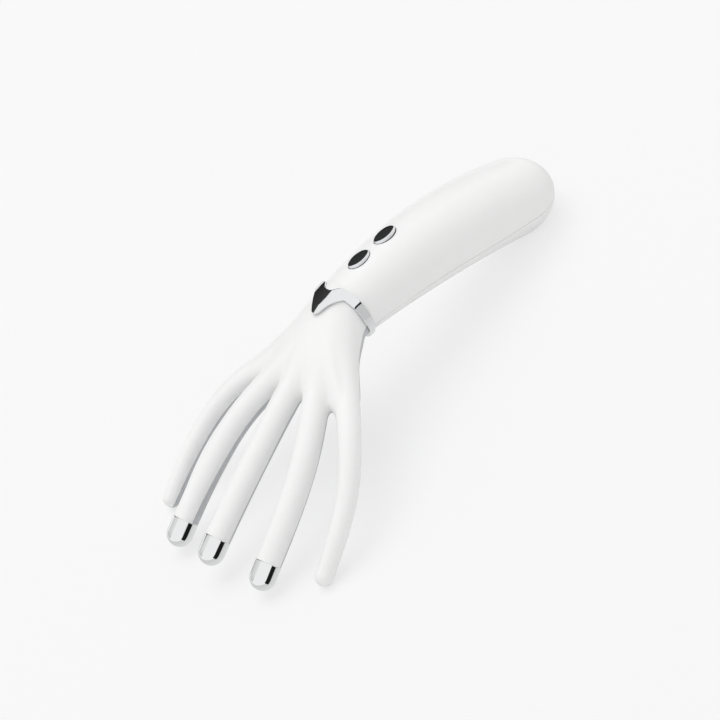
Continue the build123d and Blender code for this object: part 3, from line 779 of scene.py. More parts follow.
WHITE_SHELL = PolishedPlastic("polished_white_shell", (0.91, 0.91, 0.905), 0.34, 0.12)
GREY_SHELL = PolishedPlastic("polished_grey_shell", (0.52, 0.53, 0.55), 0.3, 0.12)
COLLAR_CHROME = MirrorPlate("plated_collar", (0.86, 0.865, 0.875), 0.06)
BUTTON_CHROME = MirrorPlate("plated_button", (0.8, 0.81, 0.83), 0.08)
CONTACT_CHROME = MirrorPlate("plated_contact", (0.88, 0.885, 0.89), 0.05)
SCREW_STEEL = DrawnMetal("zinc_screw", (0.56, 0.56, 0.57), 0.35)
NODE_FINISHES = {
    WHITE_SHELL: ("handle_top_shell", "handle_bottom_cover", "hand_top_shell"),
    GREY_SHELL: ("hand_bottom_shell",),
    COLLAR_CHROME: ("collar_ring",),
    BUTTON_CHROME: ("mode_button", "power_button"),
    CONTACT_CHROME: ("electrode_cap_index", "electrode_cap_middle", "electrode_cap_ring"),
    MouldedPlastic("inner_white_moulding", (0.8, 0.8, 0.79), 0.5): ("neck_coupling", "motor_bracket"),
    MouldedPlastic("soft_seal", (0.12, 0.12, 0.125), 0.7): ("handle_seam_gasket", "motor_sleeve"),
    MouldedPlastic("black_moulding", (0.03, 0.03, 0.033), 0.45): (
        "battery_cradle", "charge_port_tongue", "controller_chip", "motor_end_cap",
        "power_switch_plunger", "mode_switch_plunger",
    ),
    MouldedPlastic("white_insulation", (0.82, 0.82, 0.8), 0.45, 3000.0): (
        "electrode_lead_index", "electrode_lead_middle", "electrode_lead_ring",
    ),
    MouldedPlastic("red_insulation", (0.5, 0.03, 0.025), 0.45, 3000.0): ("battery_leads", "charge_leads"),
    MouldedPlastic("blue_insulation", (0.03, 0.08, 0.4), 0.45, 3000.0): ("motor_leads",),
    MouldedPlastic("cell_sleeve", (0.03, 0.16, 0.33), 0.3, 2200.0): ("battery_cell",),
    MouldedPlastic("ferrite_core", (0.05, 0.05, 0.052), 0.6): ("pulse_transformer", "motor_magnet"),
    CircuitBoard("green_board", (0.01, 0.11, 0.04), 0.35): ("main_board", "charge_board"),
    WoundCopper("copper_winding", (0.62, 0.27, 0.12), 0.35): ("motor_armature",),
    DrawnMetal("turned_brass", (0.74, 0.55, 0.25), 0.28): (
        "contact_insert_index", "contact_insert_middle", "contact_insert_ring", "motor_bearing",
        "eccentric_weight",
    ),
    DrawnMetal("drawn_steel", (0.58, 0.58, 0.59), 0.3): (
        "motor_can", "motor_shaft", "cell_strap", "power_switch", "mode_switch", "charge_port_shell",
    ),
    SCREW_STEEL: ("board_screws", "bracket_screws", "charge_board_screws", "cover_screws", "hand_screws"),
    DrawnMetal("spun_aluminium", (0.74, 0.75, 0.76), 0.32, Noise(1600.0, 3.0, (1.0, 1.0, 0.05))): (
        "filter_capacitor",
    ),
}


# ------------------------------------------------------------------ places on the part
@dataclass(frozen=True)
class Place:
    """A spot in the part's frame with its own axes: ahead, side and above."""

    origin: tuple[float, float, float]
    slope: float = 0.0

    def axes(self) -> np.ndarray:
        """The three axes as rows."""
        rise, run = sin(self.slope), cos(self.slope)
        return np.array([(run, 0, rise), (0, 1, 0), (-rise, 0, run)])

    def local(self, points: np.ndarray) -> np.ndarray:
        """Points of the part's frame, in this place's axes."""
        return (points - self.origin) @ self.axes().T

    def world(self, points: Sequence) -> np.ndarray:
        """Points of this place's axes, in the part's frame."""
        return np.asarray(points, float) @ self.axes() + self.origin

    def moved(self, ahead: float = 0, above: float = 0) -> "Place":
        """A place beside this one with the same axes."""
        return Place(tuple(self.world((ahead, 0, above))), self.slope)


NECK = Place((NECK_AHEAD, 0.0, NECK_HEIGHT), NECK_SLOPE)


def hand_spot(ahead: float, side: float, above: float) -> tuple[float, float, float]:
    """A point of the part's frame, given from the neck in level axes."""
    return NECK_AHEAD + ahead, side, NECK_HEIGHT + above


@dataclass
class HandleArc:
    """The arc that the handle follows, its girth along the way and the height of its seam.

    Its skin begins with a raised lip that the collar hides. Rings says how many rings of points the skin has
    there, along the arc, and round the tail.
    """

    radius: float = 280.0
    stations: tuple[float, ...] = (0.0, 24.5, 50.0, 75.5, 99.0)
    girths: tuple[float, ...] = (14.7, 17.0, 18.5, 18.9, 18.4)
    lip_rise: float = 0.35
    lip_run: float = 1.5
    tail: float = 24.0
    hidden: tuple[float, float] = (-6.0, -0.5)
    rings: tuple[int, int, int] = (8, 92, 24)
    seam_drops: tuple[float, ...] = (7.0, 7.8, 8.2, 8.2, 5.5, 0.0)

    def place(self, distance: float) -> Place:
        """Finds a place on the arc.

        Args:
            distance: How far it is from the neck.

        Returns:
            The place, with its ahead axis along the arc.
        """
        slope = NECK_SLOPE + distance / self.radius
        ahead = NECK_AHEAD - self.radius * (sin(slope) - sin(NECK_SLOPE))
        height = NECK_HEIGHT - self.radius * (cos(NECK_SLOPE) - cos(slope))
        return Place((ahead, 0.0, height), slope)

    def follow(self, points: np.ndarray) -> tuple[np.ndarray, np.ndarray]:
        """Finds where points are along the handle.

        Args:
            points: Points of the part's frame.

        Returns:
            Their distances from the neck, and their heights over the handle's axis.
        """
        turn_x = NECK_AHEAD + self.radius * sin(NECK_SLOPE)
        turn_z = NECK_HEIGHT - self.radius * cos(NECK_SLOPE)
        slope = np.arctan2(turn_x - points[:, 0], points[:, 2] - turn_z)
        distance = (slope - NECK_SLOPE) * self.radius
        height = np.hypot(points[:, 0] - turn_x, points[:, 2] - turn_z) - self.radius
        neck = NECK.local(points)
        tail = self.place(self.stations[-1]).local(points)
        before, beyond = distance < 0, distance > self.stations[-1]
        distance = np.where(before, -neck[:, 0], distance)
        distance = np.where(beyond, self.stations[-1] - tail[:, 0], distance)
        height = np.where(before, neck[:, 2], height)
        return distance, np.where(beyond, tail[:, 2], height)

    def seam(self, points: np.ndarray) -> np.ndarray:
        """How far points are above the seam of the two shells.

        Args:
            points: Points of the part's frame.

        Returns:
            One height for each point.
        """
        distance, height = self.follow(points)
        drop = Spline((*self.stations, self.stations[-1] + self.tail), self.seam_drops)
        return height + drop(distance)[:, 0]

    def axis_points(self) -> tuple[np.ndarray, np.ndarray]:
        """The points that the handle's skin is swept along, from inside the collar to the tail's end.

        Returns:
            The points, and the skin's radius at each.
        """
        last = self.stations[-1]
        along = np.concatenate(
            [np.linspace(*self.hidden, self.rings[0]), np.linspace(0, last, self.rings[1])]
        )
        girth = Spline(self.stations, self.girths)(along)[:, 0]
        lip = self.girths[0] + self.lip_rise * smooth_step(-along / self.lip_run)
        girth = np.where(along < 0, lip, girth)
        spots = [NECK.world((-d, 0, 0)) if d < 0 else np.array(self.place(d).origin) for d in along]
        turn = np.linspace(0, pi / 2, self.rings[2])[1:]
        tail = self.place(last)
        spots += [tail.world((-self.tail * sin(a), 0, 0)) for a in turn]
        return np.array(spots), np.concatenate([girth, self.girths[-1] * np.cos(turn)])


ARC = HandleArc()
BOARD = Place(ARC.place(BOARD_ALONG).moved(above=BOARD_ABOVE).origin, BOARD_SLOPE)
BUTTON_ALONG = {"mode": 8.4, "power": -8.4}
COVER_SCREWS = (BOARD.moved(ahead=-19.0, above=-23.5), ARC.place(115.6).moved(above=-8.0))
HAND_SCREWS = (Place(hand_spot(31.0, 17.5, -10.6)), Place(hand_spot(31.0, -17.5, -10.6)))


# ------------------------------------------------------------------ geometry nodes
class NodeSweep:
    """A small geometry-nodes tree, built step by step with named inputs."""

    def __init__(self, name: str) -> None:
        """Starts the tree with its geometry input and output.

        Args:
            name: Name of the tree.
        """
        self.tree = bpy.data.node_groups.new(name, "GeometryNodeTree")
        self.tree.interface.new_socket("Geometry", in_out="INPUT", socket_type="NodeSocketGeometry")
        self.tree.interface.new_socket("Geometry", in_out="OUTPUT", socket_type="NodeSocketGeometry")
        self.inputs = self.tree.nodes.new("NodeGroupInput")
        self.output = self.tree.nodes.new("NodeGroupOutput")
        self.values: dict[str, object] = {}

    def size(self, name: str, value: object, kind: str = "NodeSocketFloat") -> bpy.types.NodeSocket:
        """Adds a named input with the value it is used with.

        Args:
            name: Name of the input.
            value: Its value on this piece.
            kind: Its socket type.

        Returns:
            The socket inside the tree.
        """
        item = self.tree.interface.new_socket(name, in_out="INPUT", socket_type=kind)
        self.values[item.identifier] = value
        return self.inputs.outputs[name]

    def add(self, kind: str, settings: dict | None = None, **links: object) -> bpy.types.Node:
        """Adds a node.

        Args:
            kind: Its Blender type.
            settings: Properties to set on it.
            **links: Sockets or values for its inputs, with underscores for spaces.

        Returns:
            The node.
        """
        node = self.tree.nodes.new(kind)
        for key, value in (settings or {}).items():
            setattr(node, key, value)
        for key, value in links.items():
            target = node.inputs[int(key[1:])] if key[1:].isdigit() else node.inputs[key.replace("_", " ")]
            if isinstance(value, bpy.types.NodeSocket):
                self.tree.links.new(value, target)
            else:
                target.default_value = value
        return node

    def math(self, operation: str, first: object, second: object = 0.0) -> bpy.types.NodeSocket:
        """The result of a math node."""
        return self.add("ShaderNodeMath", {"operation": operation}, i0=first, i1=second).outputs[0]

    def attribute(self, name: str, kind: str) -> bpy.types.NodeSocket:
        """A named attribute of the points that the tree is given."""
        node = self.add("GeometryNodeInputNamedAttribute", {"data_type": kind}, Name=name)
        return node.outputs["Attribute"]

    def axis(self, count: object, height: object, girth: object) -> bpy.types.NodeSocket:
        """A straight curve along Z, with its radius stored on its points.

        Args:
            count: Number of points.
            height: Each point's height.
            girth: Each point's radius.

        Returns:
            The curve's socket.
        """
        line = self.add("GeometryNodeMeshLine", Count=count)
        spot = self.add("ShaderNodeCombineXYZ", Z=height).outputs[0]
        laid = self.add("GeometryNodeSetPosition", Geometry=line.outputs[0], Position=spot)
        kept = self.add(
            "GeometryNodeStoreNamedAttribute", {"data_type": "FLOAT", "domain": "POINT"},
            Geometry=laid.outputs[0], Name="girth", Value=girth,
        )
        return self.add("GeometryNodeMeshToCurve", Mesh=kept.outputs[0]).outputs[0]

    def tube(self, curve: bpy.types.NodeSocket, sides: bpy.types.NodeSocket) -> bpy.types.Node:
        """A round skin around a curve, as wide as the radius stored on its points."""
        circle = self.add("GeometryNodeCurvePrimitiveCircle", Resolution=sides, Radius=1.0)
        return self.add(
            "GeometryNodeCurveToMesh", Curve=curve, Profile_Curve=circle.outputs[0],
            Scale=self.attribute("girth", "FLOAT"),
        )

    def at_seeds(self, piece: bpy.types.Node) -> bpy.types.NodeSocket:
        """Puts a piece at each seed, with its Z along the direction stored there.

        Args:
            piece: The node that makes the piece.

        Returns:
            The socket of the instances.
        """
        aim = self.attribute("aim", "FLOAT_VECTOR")
        turned = self.add("FunctionNodeAlignRotationToVector", {"axis": "Z"}, Vector=aim)
        placed = self.add(
            "GeometryNodeInstanceOnPoints", Points=self.inputs.outputs["Geometry"],
            Instance=piece.outputs[0], Rotation=turned.outputs[0],
        )
        return placed.outputs[0]

    def run(self, seeds: bpy.types.Object, result: bpy.types.NodeSocket, finish: Finish) -> bpy.types.Object:
        """Ends the tree, runs it on an object and keeps the result as a plain mesh.

        Args:
            seeds: The object whose points the tree is given.
            result: The socket that holds the made geometry.
            finish: The finish that the tree sets.

        Returns:
            The same object, with the result as its mesh.
        """
        real = self.add("GeometryNodeRealizeInstances", Geometry=result)
        merged = self.add("GeometryNodeMergeByDistance", Geometry=real.outputs[0], Distance=WELD)
        dressed = self.add("GeometryNodeSetMaterial", Geometry=merged.outputs[0])
        dressed.inputs["Material"].default_value = material_of(finish)
        self.tree.links.new(dressed.outputs[0], self.output.inputs[0])
        modifier = seeds.modifiers.new(self.tree.name, "NODES")
        modifier.node_group = self.tree
        for identifier, value in self.values.items():
            modifier[identifier] = value
        return applied(seeds)


MADE: dict[str, bpy.types.Material] = {}


def material_of(finish: Finish) -> bpy.types.Material:
    """Finds a finish's material, or makes it the first time.

    Args:
        finish: The finish.

    Returns:
        The material.
    """
    if finish.name not in MADE:
        MADE[finish.name] = finish.build()
    return MADE[finish.name]


def dress(piece: bpy.types.Object, finish: Finish) -> bpy.types.Object:
    """Gives the whole piece one finish.

    Args:
        piece: The object.
        finish: Its finish.

    Returns:
        The same object.
    """
    piece.data.materials.clear()
    piece.data.materials.append(material_of(finish))
    return piece


def seeds_object(name: str, spots: np.ndarray, chain: bool = False) -> bpy.types.Object:
    """Makes an object of bare points for a geometry-nodes tree.

    Args:
        name: Name of the object.
        spots: The points, in millimetres.
        chain: Whether edges join them in order.

    Returns:
        The object, linked to the scene.
    """
    mesh = bpy.data.meshes.new(name)
    links = [(i, i + 1) for i in range(len(spots) - 1)] if chain else []
    mesh.from_pydata((np.asarray(spots, float) * MM).tolist(), links, [])
    piece = bpy.data.objects.new(name, mesh)
    bpy.context.scene.collection.objects.link(piece)
    return piece


def store(piece: bpy.types.Object, name: str, rows: np.ndarray) -> None:
    """Stores one number or one vector on each point of an object's mesh.

    Args:
        piece: The object.
        name: Name of the attribute.
        rows: The numbers or the vectors.
    """
    rows = np.asarray(rows, float)
    if rows.ndim == 1:
        piece.data.attributes.new(name, "FLOAT", "POINT").data.foreach_set("value", rows)
    else:
        piece.data.attributes.new(name, "FLOAT_VECTOR", "POINT").data.foreach_set("vector", rows.ravel())


def skin_of(piece: bpy.types.Object) -> Skin:
    """Takes a piece's mesh out of the scene.

    Args:
        piece: The object, which is removed.

    Returns:
        Its mesh as a skin, in millimetres.
    """
    mesh = piece.data
    points = np.empty(len(mesh.vertices) * 3)
    mesh.vertices.foreach_get("co", points)
    faces = [tuple(face.vertices) for face in mesh.polygons]
    bpy.data.objects.remove(piece)
    bpy.data.meshes.remove(mesh)
    return Skin(points.reshape(-1, 3) / MM, faces)


# ------------------------------------------------------------------ holes
@dataclass(frozen=True)
class Opening:
    """A hole in a shell with a straight wall down to a floor: oval, or a round-ended slot from side to side.

    Its half sizes are along the place's ahead and side axes. Its reach is how far from the place the rim can
    be, and the hole is only on the upper or the lower side of its level. A slot's half sizes are its half
    width and its half length.
    """

    place: Place
    half: tuple[float, float]
    reach: tuple[float, float]
    floor: float
    level: float = 0.0
    upper: bool = False
    slotted: bool = False

    def outside(self, points: np.ndarray) -> np.ndarray:
        """Measures how far points are outside the hole.

        Args:
            points: Points of the part's frame.

        Returns:
            One number for each point, negative inside the hole.
        """
        local = self.place.local(points)
        if self.slotted:
            beyond = np.maximum(np.abs(local[:, 1]) - (self.half[1] - self.half[0]), 0)
            gap = np.hypot(local[:, 0], beyond) - self.half[0]
        else:
            gap = (np.hypot(local[:, 0] / self.half[0], local[:, 1] / self.half[1]) - 1) * min(self.half)
        facing = local[:, 2] > self.level if self.upper else local[:, 2] < self.level
        return np.where(facing, gap, FAR_AWAY)

    def cut(self, skin: Skin) -> Skin:
        """Cuts the hole into a skin and leads its rim straight down to the floor.

        Args:
            skin: The whole skin.

        Returns:
            The skin with the hole and its wall.
        """
        skin = skin.split(self.outside)[0]
        local = self.place.local(skin.points)
        near = np.all(np.abs(local[:, :2]) < self.reach, axis=1)
        near &= (local[:, 2] > self.floor) if self.upper else (local[:, 2] < self.floor)
        used = dict.fromkeys(
            (low, face[(i + 1) % len(face)]) for face in skin.faces for i, low in enumerate(face)
        )
        rim = [(a, b) for a, b in used if (b, a) not in used and near[a] and near[b]]
        corners = sorted({c for edge in rim for c in edge})
        fresh = {c: len(skin.points) + i for i, c in enumerate(corners)}
        low = local[corners].reshape(-1, 3)
        low[:, 2] = self.floor
        faces = skin.faces + [(b, a, fresh[a], fresh[b]) for a, b in rim]
        return Skin(np.concatenate([skin.points, self.place.world(low)]), faces)


def screw_bore(place: Place) -> Opening:
    """The round opening over a closing screw's seat."""
    return Opening(place, (2.0, 2.0), (3.0, 3.0), floor=0.4, level=4.0)


# ------------------------------------------------------------------ the handle
@dataclass
class Handle:
    """The arched grip: a white upper shell with the button windows, and its underside cover."""

    arc: HandleArc
    sides: int = 132
    wall: float = 1.7
    lip: float = 0.22
    seam_gap: float = 0.28
    neck_gap: float = 0.12
    edge_turns: tuple[float, ...] = (-10.0, 0.0, 6.0, 12.0, 18.0, 26.0, 40.0, 58.0, 90.0, 180.0)
    edge_fronts: tuple[float, ...] = (4.7, 5.5, 5.3, 4.2, 2.6, 1.6, 1.1, 0.7, 0.3, 0.0)
    window: tuple[float, float] = (6.3, 4.0)
    window_reach: tuple[float, float] = (8.0, 6.0)
    window_floor: float = 6.4
    port: tuple[float, float] = (1.75, 4.65)
    port_reach: tuple[float, float] = (3.0, 6.0)
    port_floor: float = -14.6
    port_along: float = 21.0

    def sweep(self) -> Skin:
        """Sweeps the handle's outline along its arc with geometry nodes.

        Returns:
            The whole outer skin, facing outwards.
        """
        spots, girths = self.arc.axis_points()
        seeds = seeds_object("handle_axis", spots, chain=True)
        store(seeds, "girth", girths * MM)
        tree = NodeSweep("handle_sweep")
        sides = tree.size("Sides", self.sides, "NodeSocketInt")
        curve = tree.add("GeometryNodeMeshToCurve", Mesh=tree.inputs.outputs["Geometry"])
        tube = tree.tube(curve.outputs[0], sides)
        skin = skin_of(tree.run(seeds, tube.outputs[0], WHITE_SHELL))
        middle = len(skin.faces) // 2
        along = self.arc.follow(skin.points[[skin.faces[middle][0]]])[0][0]
        outwards = skin.faces_away(middle, np.array(self.arc.place(float(along)).origin))
        return skin if outwards else skin.turned()

    def neck_edge(self, points: np.ndarray) -> np.ndarray:
        """The field of the curved joint with the collar.

        Args:
            points: Points of the part's frame.

        Returns:
            One number for each point, positive where the handle is.
        """
        local = NECK.local(points)
        turns = np.degrees(np.arctan2(np.abs(local[:, 1]), local[:, 2]))
        return Spline(self.edge_turns, self.edge_fronts)(turns)[:, 0] - self.neck_gap - local[:, 0]

    def make(self) -> None:
        """Builds both shells, cuts their openings and seats them."""
        skin = self.sweep().split(self.neck_edge)[0]
        upper, lower = skin.parted(self.arc.seam, self.seam_gap)
        for along in BUTTON_ALONG.values():
            place = BOARD.moved(ahead=along)
            upper = Opening(place, self.window, self.window_reach, self.window_floor, upper=True).cut(upper)
        place = self.arc.place(self.port_along)
        lower = Opening(place, self.port, self.port_reach, self.port_floor, slotted=True).cut(lower)
        for place in COVER_SCREWS:
            lower = screw_bore(place).cut(lower)
        seat(dress(shell(upper, "grip_upper_shell", self.wall, self.lip), WHITE_SHELL),
             Body.MASSAGER, "white_gloss", "handle_top_shell")
        seat(dress(shell(lower, "grip_underside_cover", self.wall, self.lip), WHITE_SHELL),
             Body.MASSAGER, "white_gloss", "handle_bottom_cover")


# ------------------------------------------------------------------ the hand
@dataclass
class Finger:
    """One curved finger: a tapering round bar along a smooth path from the palm."""

    name: str
    path: tuple[tuple[float, float, float], ...]
    root: float
    tip: float
    rounded: bool
    web: float = 4.0
    outer_web: float = 2.0
    web_run: float = 5.0
    spare: float = 4.5
    margin: float = 16.0
    samples: int = 40
    least_rate: float = 0.3
    seat_reach: tuple[float, float] = (9.0, 12.0)

    def __post_init__(self) -> None:
        """Fits the path's curve, and finds the block of space that the finger is in."""
        self.line = chord_spline([hand_spot(*spot) for spot in self.path])
        self.length = self.line.x[-1]
        samples = self.line(np.linspace(0, self.length, self.samples))
        self.low, self.high = samples.min(0) - self.margin, samples.max(0) + self.margin

    def end(self) -> tuple[np.ndarray, np.ndarray]:
        """The path's last point and its direction there."""
        return self.line(self.length)[0], unit(self.line(self.length, 1))[0]

    def distance(self, points: np.ndarray) -> np.ndarray:
        """Measures how far points are from the finger's skin.

        Args:
            points: Points of the part's frame.

        Returns:
            One distance for each point, negative inside and large far away.
        """
        result = np.full(len(points), FAR_AWAY)
        near = np.all((points > self.low) & (points < self.high), axis=1)
        spots = points[near]
        if not len(spots):
            return result
        start, finish = self.line.y[0], self.line.y[-1]
        chord = finish - start
        at = (spots - start) @ chord / (chord @ chord) * self.length
        last = self.length + (0 if self.rounded else self.spare)
        for _ in range(NEWTON_ROUNDS):
            at = np.clip(at, 0, last)
            arm = spots - self.line(at)
            way = self.line(at, 1)
            bend = self.line(at, 2)
            rate = (way**2).sum(1) - (arm * bend).sum(1)
            at = at + (arm * way).sum(1) / np.maximum(rate, self.least_rate)
        at = np.clip(at, 0, last)
        radius = self.root + (self.tip - self.root) * np.clip(at / self.length, 0, 1)
        result[near] = np.linalg.norm(spots - self.line(at), axis=1) - radius
        return result

    def web_at(self, points: np.ndarray) -> np.ndarray:
        """How far the finger blends into the palm: less on the hand's outside than between fingers.

        Args:
            points: Points of the part's frame.

        Returns:
            One reach for each point.
        """
        if not self.rounded:
            return np.full(len(points), self.web)
        middle = np.interp(points[:, 0], self.line.y[:, 0], np.abs(self.line.y[:, 1]))
        inner = smooth_step(0.5 + (middle - np.abs(points[:, 1])) / self.web_run)
        return self.outer_web + (self.web - self.outer_web) * inner

    def seat_cut(self, points: np.ndarray) -> np.ndarray:
        """The field of the plane where the finger ends and its cap begins.

        Args:
            points: Points of the part's frame.

        Returns:
            One number for each point, positive beyond the plane.
        """
        place, way = self.end()
        arm = points - place
        ahead = arm @ way
        off = np.linalg.norm(arm - ahead[:, None] * way, axis=1)
        near = (off < self.seat_reach[0]) & (np.abs(ahead) < self.seat_reach[1])
        return np.where(near, ahead, -FAR_AWAY)


MIDDLE_PATH = ((26.3, 0, -2.1), (49.3, 0, -8.6), (71.3, 0, -16.1), (90.3, 0, -23.2), (112.7, 0, -32.3))
RING_PATH = ((28.3, 8, -3.5), (48.3, 17.5, -10.2), (64.3, 24, -16.4), (81.3, 27.6, -24),
             (98.3, 29.2, -31.7), (110.3, 29.6, -37.3))
LITTLE_PATH = ((20.3, 12.8, -3.4), (36.3, 27.8, -10.2), (51.3, 40.2, -16.1), (68.3, 49.6, -25.6),
               (85.3, 53.5, -34.8), (102.1, 54.4, -44.3))


def mirrored(path: Sequence[tuple[float, float, float]]) -> tuple[tuple[float, float, float], ...]:
    """The same path on the other side of the hand."""
    return tuple((ahead, -side, above) for ahead, side, above in path)


@dataclass
class Hand:
    """The cupped palm with its five fingers, in a white back shell and a light grey inner shell."""

    stations: tuple[tuple[float, ...], ...] = (
        (10.3, -0.8, 2.0, 17.0, 14.1, 0.6),
        (22.3, -2.6, -6.0, 23.6, 10.9, 2.6),
        (33.3, -5.6, -13.0, 30.2, 8.4, 4.7),
        (40.3, -8.3, -17.0, 31.4, 5.6, 5.4),
        (44.3, -9.7, -17.0, 30.4, 2.6, 5.0),
    )
    root: tuple[float, ...] = (-0.4, -0.05, 6.8, 14.8, 14.6, 0.0)
    neck: tuple[float, ...] = (4.27, 0.42, 6.8, 14.8, 14.6, 0.0)
    fingers: tuple[Finger, ...] = (
        Finger("thumb", mirrored(LITTLE_PATH), 5.95, 4.1, True, web=6.5),
        Finger("index", mirrored(RING_PATH), 6.4, 5.8, False),
        Finger("middle", MIDDLE_PATH, 6.4, 5.8, False),
        Finger("ring", RING_PATH, 6.4, 5.8, False),
        Finger("little", LITTLE_PATH, 5.95, 4.1, True, web=6.5),
    )
    edge: float = 2.2
    run_in: float = 9.0
    least_rate: float = 0.35
    least_depth: float = 0.3
    side_blend: float = 2.0
    step: float = 0.95
    quick_step: float = 1.4
    relaxing: int = 10
    quick_relaxing: int = 4
    wall: float = 1.5
    lip: float = 0.2
    seam_gap: float = 0.12
    block: tuple[tuple[float, ...], tuple[float, ...]] = ((-2.5, -64.0, -56.0), (124.0, 64.0, 17.0))
    cup_radius: float = 130.0
    crown_start: float = -8.6
    crown_end: tuple[float, float] = (23.8, -11.9)
    palm_drop: float = 2.6
    finger_drop: float = 2.0
    ring_turns: tuple[float, ...] = (0.0, 38.0, 63.0, 90.0, 145.0, 180.0)
    ring_fronts: tuple[float, ...] = (5.7, 5.6, 4.9, 4.3, 1.6, 1.2)
    tongue_sides: tuple[float, ...] = (0.0, 1.2, 2.4, 6.0, 8.2, 9.3)
    tongue_fronts: tuple[float, ...] = (17.0, 16.7, 15.8, 10.5, 7.3, 5.6)
    tip_round: float = 0.2
    tuck: float = 0.3

    def __post_init__(self) -> None:
        """Fits the palm's sections (place, tilt, half width, half depth and cupping) and the seam's line."""
        rows = np.array((self.root, self.neck, *self.stations))
        rows[:, 2] = np.radians(rows[:, 2])
        self.sections = Spline(
            np.concatenate([[0], np.cumsum(np.hypot(*np.diff(rows[:, :2], axis=0).T))]), rows
        )
        crown = [(self.crown_start, -self.palm_drop)]
        crown += [(row[0], row[1] - self.palm_drop) for row in self.stations[:3:2]]
        crown += [(spot[0], spot[2] - self.finger_drop) for spot in MIDDLE_PATH[1:]]
        crown.append((crown[-1][0] + self.crown_end[0], crown[-1][1] + self.crown_end[1]))
        self.crown = Spline([spot[0] for spot in crown], [spot[1] for spot in crown])

    def capped(self) -> list[Finger]:
        """The fingers that carry a contact cap."""
        return [finger for finger in self.fingers if not finger.rounded]

    def off_section(self, local: np.ndarray, row: np.ndarray) -> tuple[np.ndarray, np.ndarray]:
        """How far points are ahead of tilted sections and above their middles.

        Args:
            local: Points from the neck in level axes.
            row: The section that belongs to each point.

        Returns:
            The two distances for each point.
        """
        rise, run = np.sin(row[:, 2]), np.cos(row[:, 2])
        ahead, above = local[:, 0] - row[:, 0], local[:, 2] - row[:, 1]
        return ahead * run + above * rise, above * run - ahead * rise

    def palm(self, points: np.ndarray) -> np.ndarray:
        """Measures how far points are from the palm's skin.

        Args:
            points: Points of the part's frame.

        Returns:
            One distance for each point, negative inside.
        """
        local = points - np.array(hand_spot(0, 0, 0))
        first, last = -self.run_in, self.sections.x[-1]
        at = np.clip(local[:, 0] - self.root[0], first, last)
        for _ in range(NEWTON_ROUNDS):
            row, change = self.sections(at), self.sections(at, 1)
            miss, lift = self.off_section(local, row)
            rate = change[:, 0] * np.cos(row[:, 2]) + change[:, 1] * np.sin(row[:, 2]) - lift * change[:, 2]
            at = np.clip(at + miss / np.maximum(rate, self.least_rate), first, last)
        row = self.sections(at)
        beyond, lift = self.off_section(local, row)
        width, cupping = row[:, 3] - self.edge, row[:, 5]
        depth = np.maximum(row[:, 4] - self.edge, self.least_depth)
        a = local[:, 1] / width
        b = (lift + cupping * a * a) / depth
        size = np.maximum(np.hypot(a, b), 1e-3)
        slope = np.hypot((a / width + b * 2 * cupping * a / (depth * width)) / size, b / depth / size)
        around = (size - 1) / np.maximum(slope, 1e-3)
        around = -smooth_least(-around, width - np.abs(local[:, 1]), self.side_blend)
        past = np.where(at >= last - 1e-6, beyond, at - last) + self.edge
        corner = np.hypot(np.maximum(around, 0), np.maximum(past, 0))
        return corner + np.minimum(np.maximum(around, past), 0) - self.edge

    def distance(self, points: np.ndarray) -> np.ndarray:
        """Measures how far points are from the hand's whole skin, rounded where fingers meet the palm.

        Args:
            points: Points of the part's frame.

        Returns:
            One distance for each point, negative inside.
        """
        palm = self.palm(points)
        whole = palm
        for finger in self.fingers:
            digit = finger.distance(points)
            whole = np.minimum(whole, smooth_least(palm, digit, finger.web_at(points)))
        return whole

    def seam(self, points: np.ndarray) -> np.ndarray:
        """How far points are above the surface that parts the two shells.

        Args:
            points: Points of the part's frame.

        Returns:
            One height for each point.
        """
        axle = NECK_HEIGHT - self.cup_radius
        crown = self.crown(points[:, 0] - NECK_AHEAD)[:, 0] + NECK_HEIGHT
        return np.hypot(points[:, 1], points[:, 2] - axle) - (crown - axle)

    def ring_front(self, local: np.ndarray) -> np.ndarray:
        """How far ahead the collar's ring reaches, without its tongue, at points in the neck's axes."""
        turns = np.degrees(np.arctan2(np.abs(local[:, 1]), local[:, 2]))
        return Spline(self.ring_turns, self.ring_fronts)(turns)[:, 0]

    def tongue_front(self, local: np.ndarray) -> np.ndarray:
        """How far ahead the collar's tongue reaches over the back of the hand.

        Args:
            local: Points in the neck's axes.

        Returns:
            One distance for each point.
        """
        side = np.abs(local[:, 1])
        reach = Spline(self.tongue_sides, self.tongue_fronts)(np.hypot(side, self.tip_round))[:, 0]
        return np.where((local[:, 2] > 0) & (side < self.tongue_sides[-1]), reach, 0)

    def collar_edge(self, points: np.ndarray) -> np.ndarray:
        """Positive where the hand is, from just inside the collar on."""
        local = NECK.local(points)
        return local[:, 0] - self.ring_front(local) + self.tuck

    def make(self) -> None:
        """Builds both shells and seats them."""
        low, high = (hand_spot(*corner) for corner in self.block)
        skin = surface_net(self.distance, low, high, self.step)
        LOG.info("hand skin: %d points", len(skin.points))
        skin.relax(self.distance, self.relaxing)
        for finger in self.capped():
            skin = skin.split(finger.seat_cut)[1]
        upper, lower = skin.split(self.collar_edge)[0].parted(self.seam, self.seam_gap)
        for place in HAND_SCREWS:
            lower = screw_bore(place).cut(lower)
        seat(dress(shell(upper, "hand_back_shell", self.wall, self.lip), WHITE_SHELL),
             Body.MASSAGER, "white_gloss", "hand_top_shell")
        seat(dress(shell(lower, "hand_inner_shell", self.wall, self.lip), GREY_SHELL),
             Body.MASSAGER, "grey_gloss", "hand_bottom_shell")


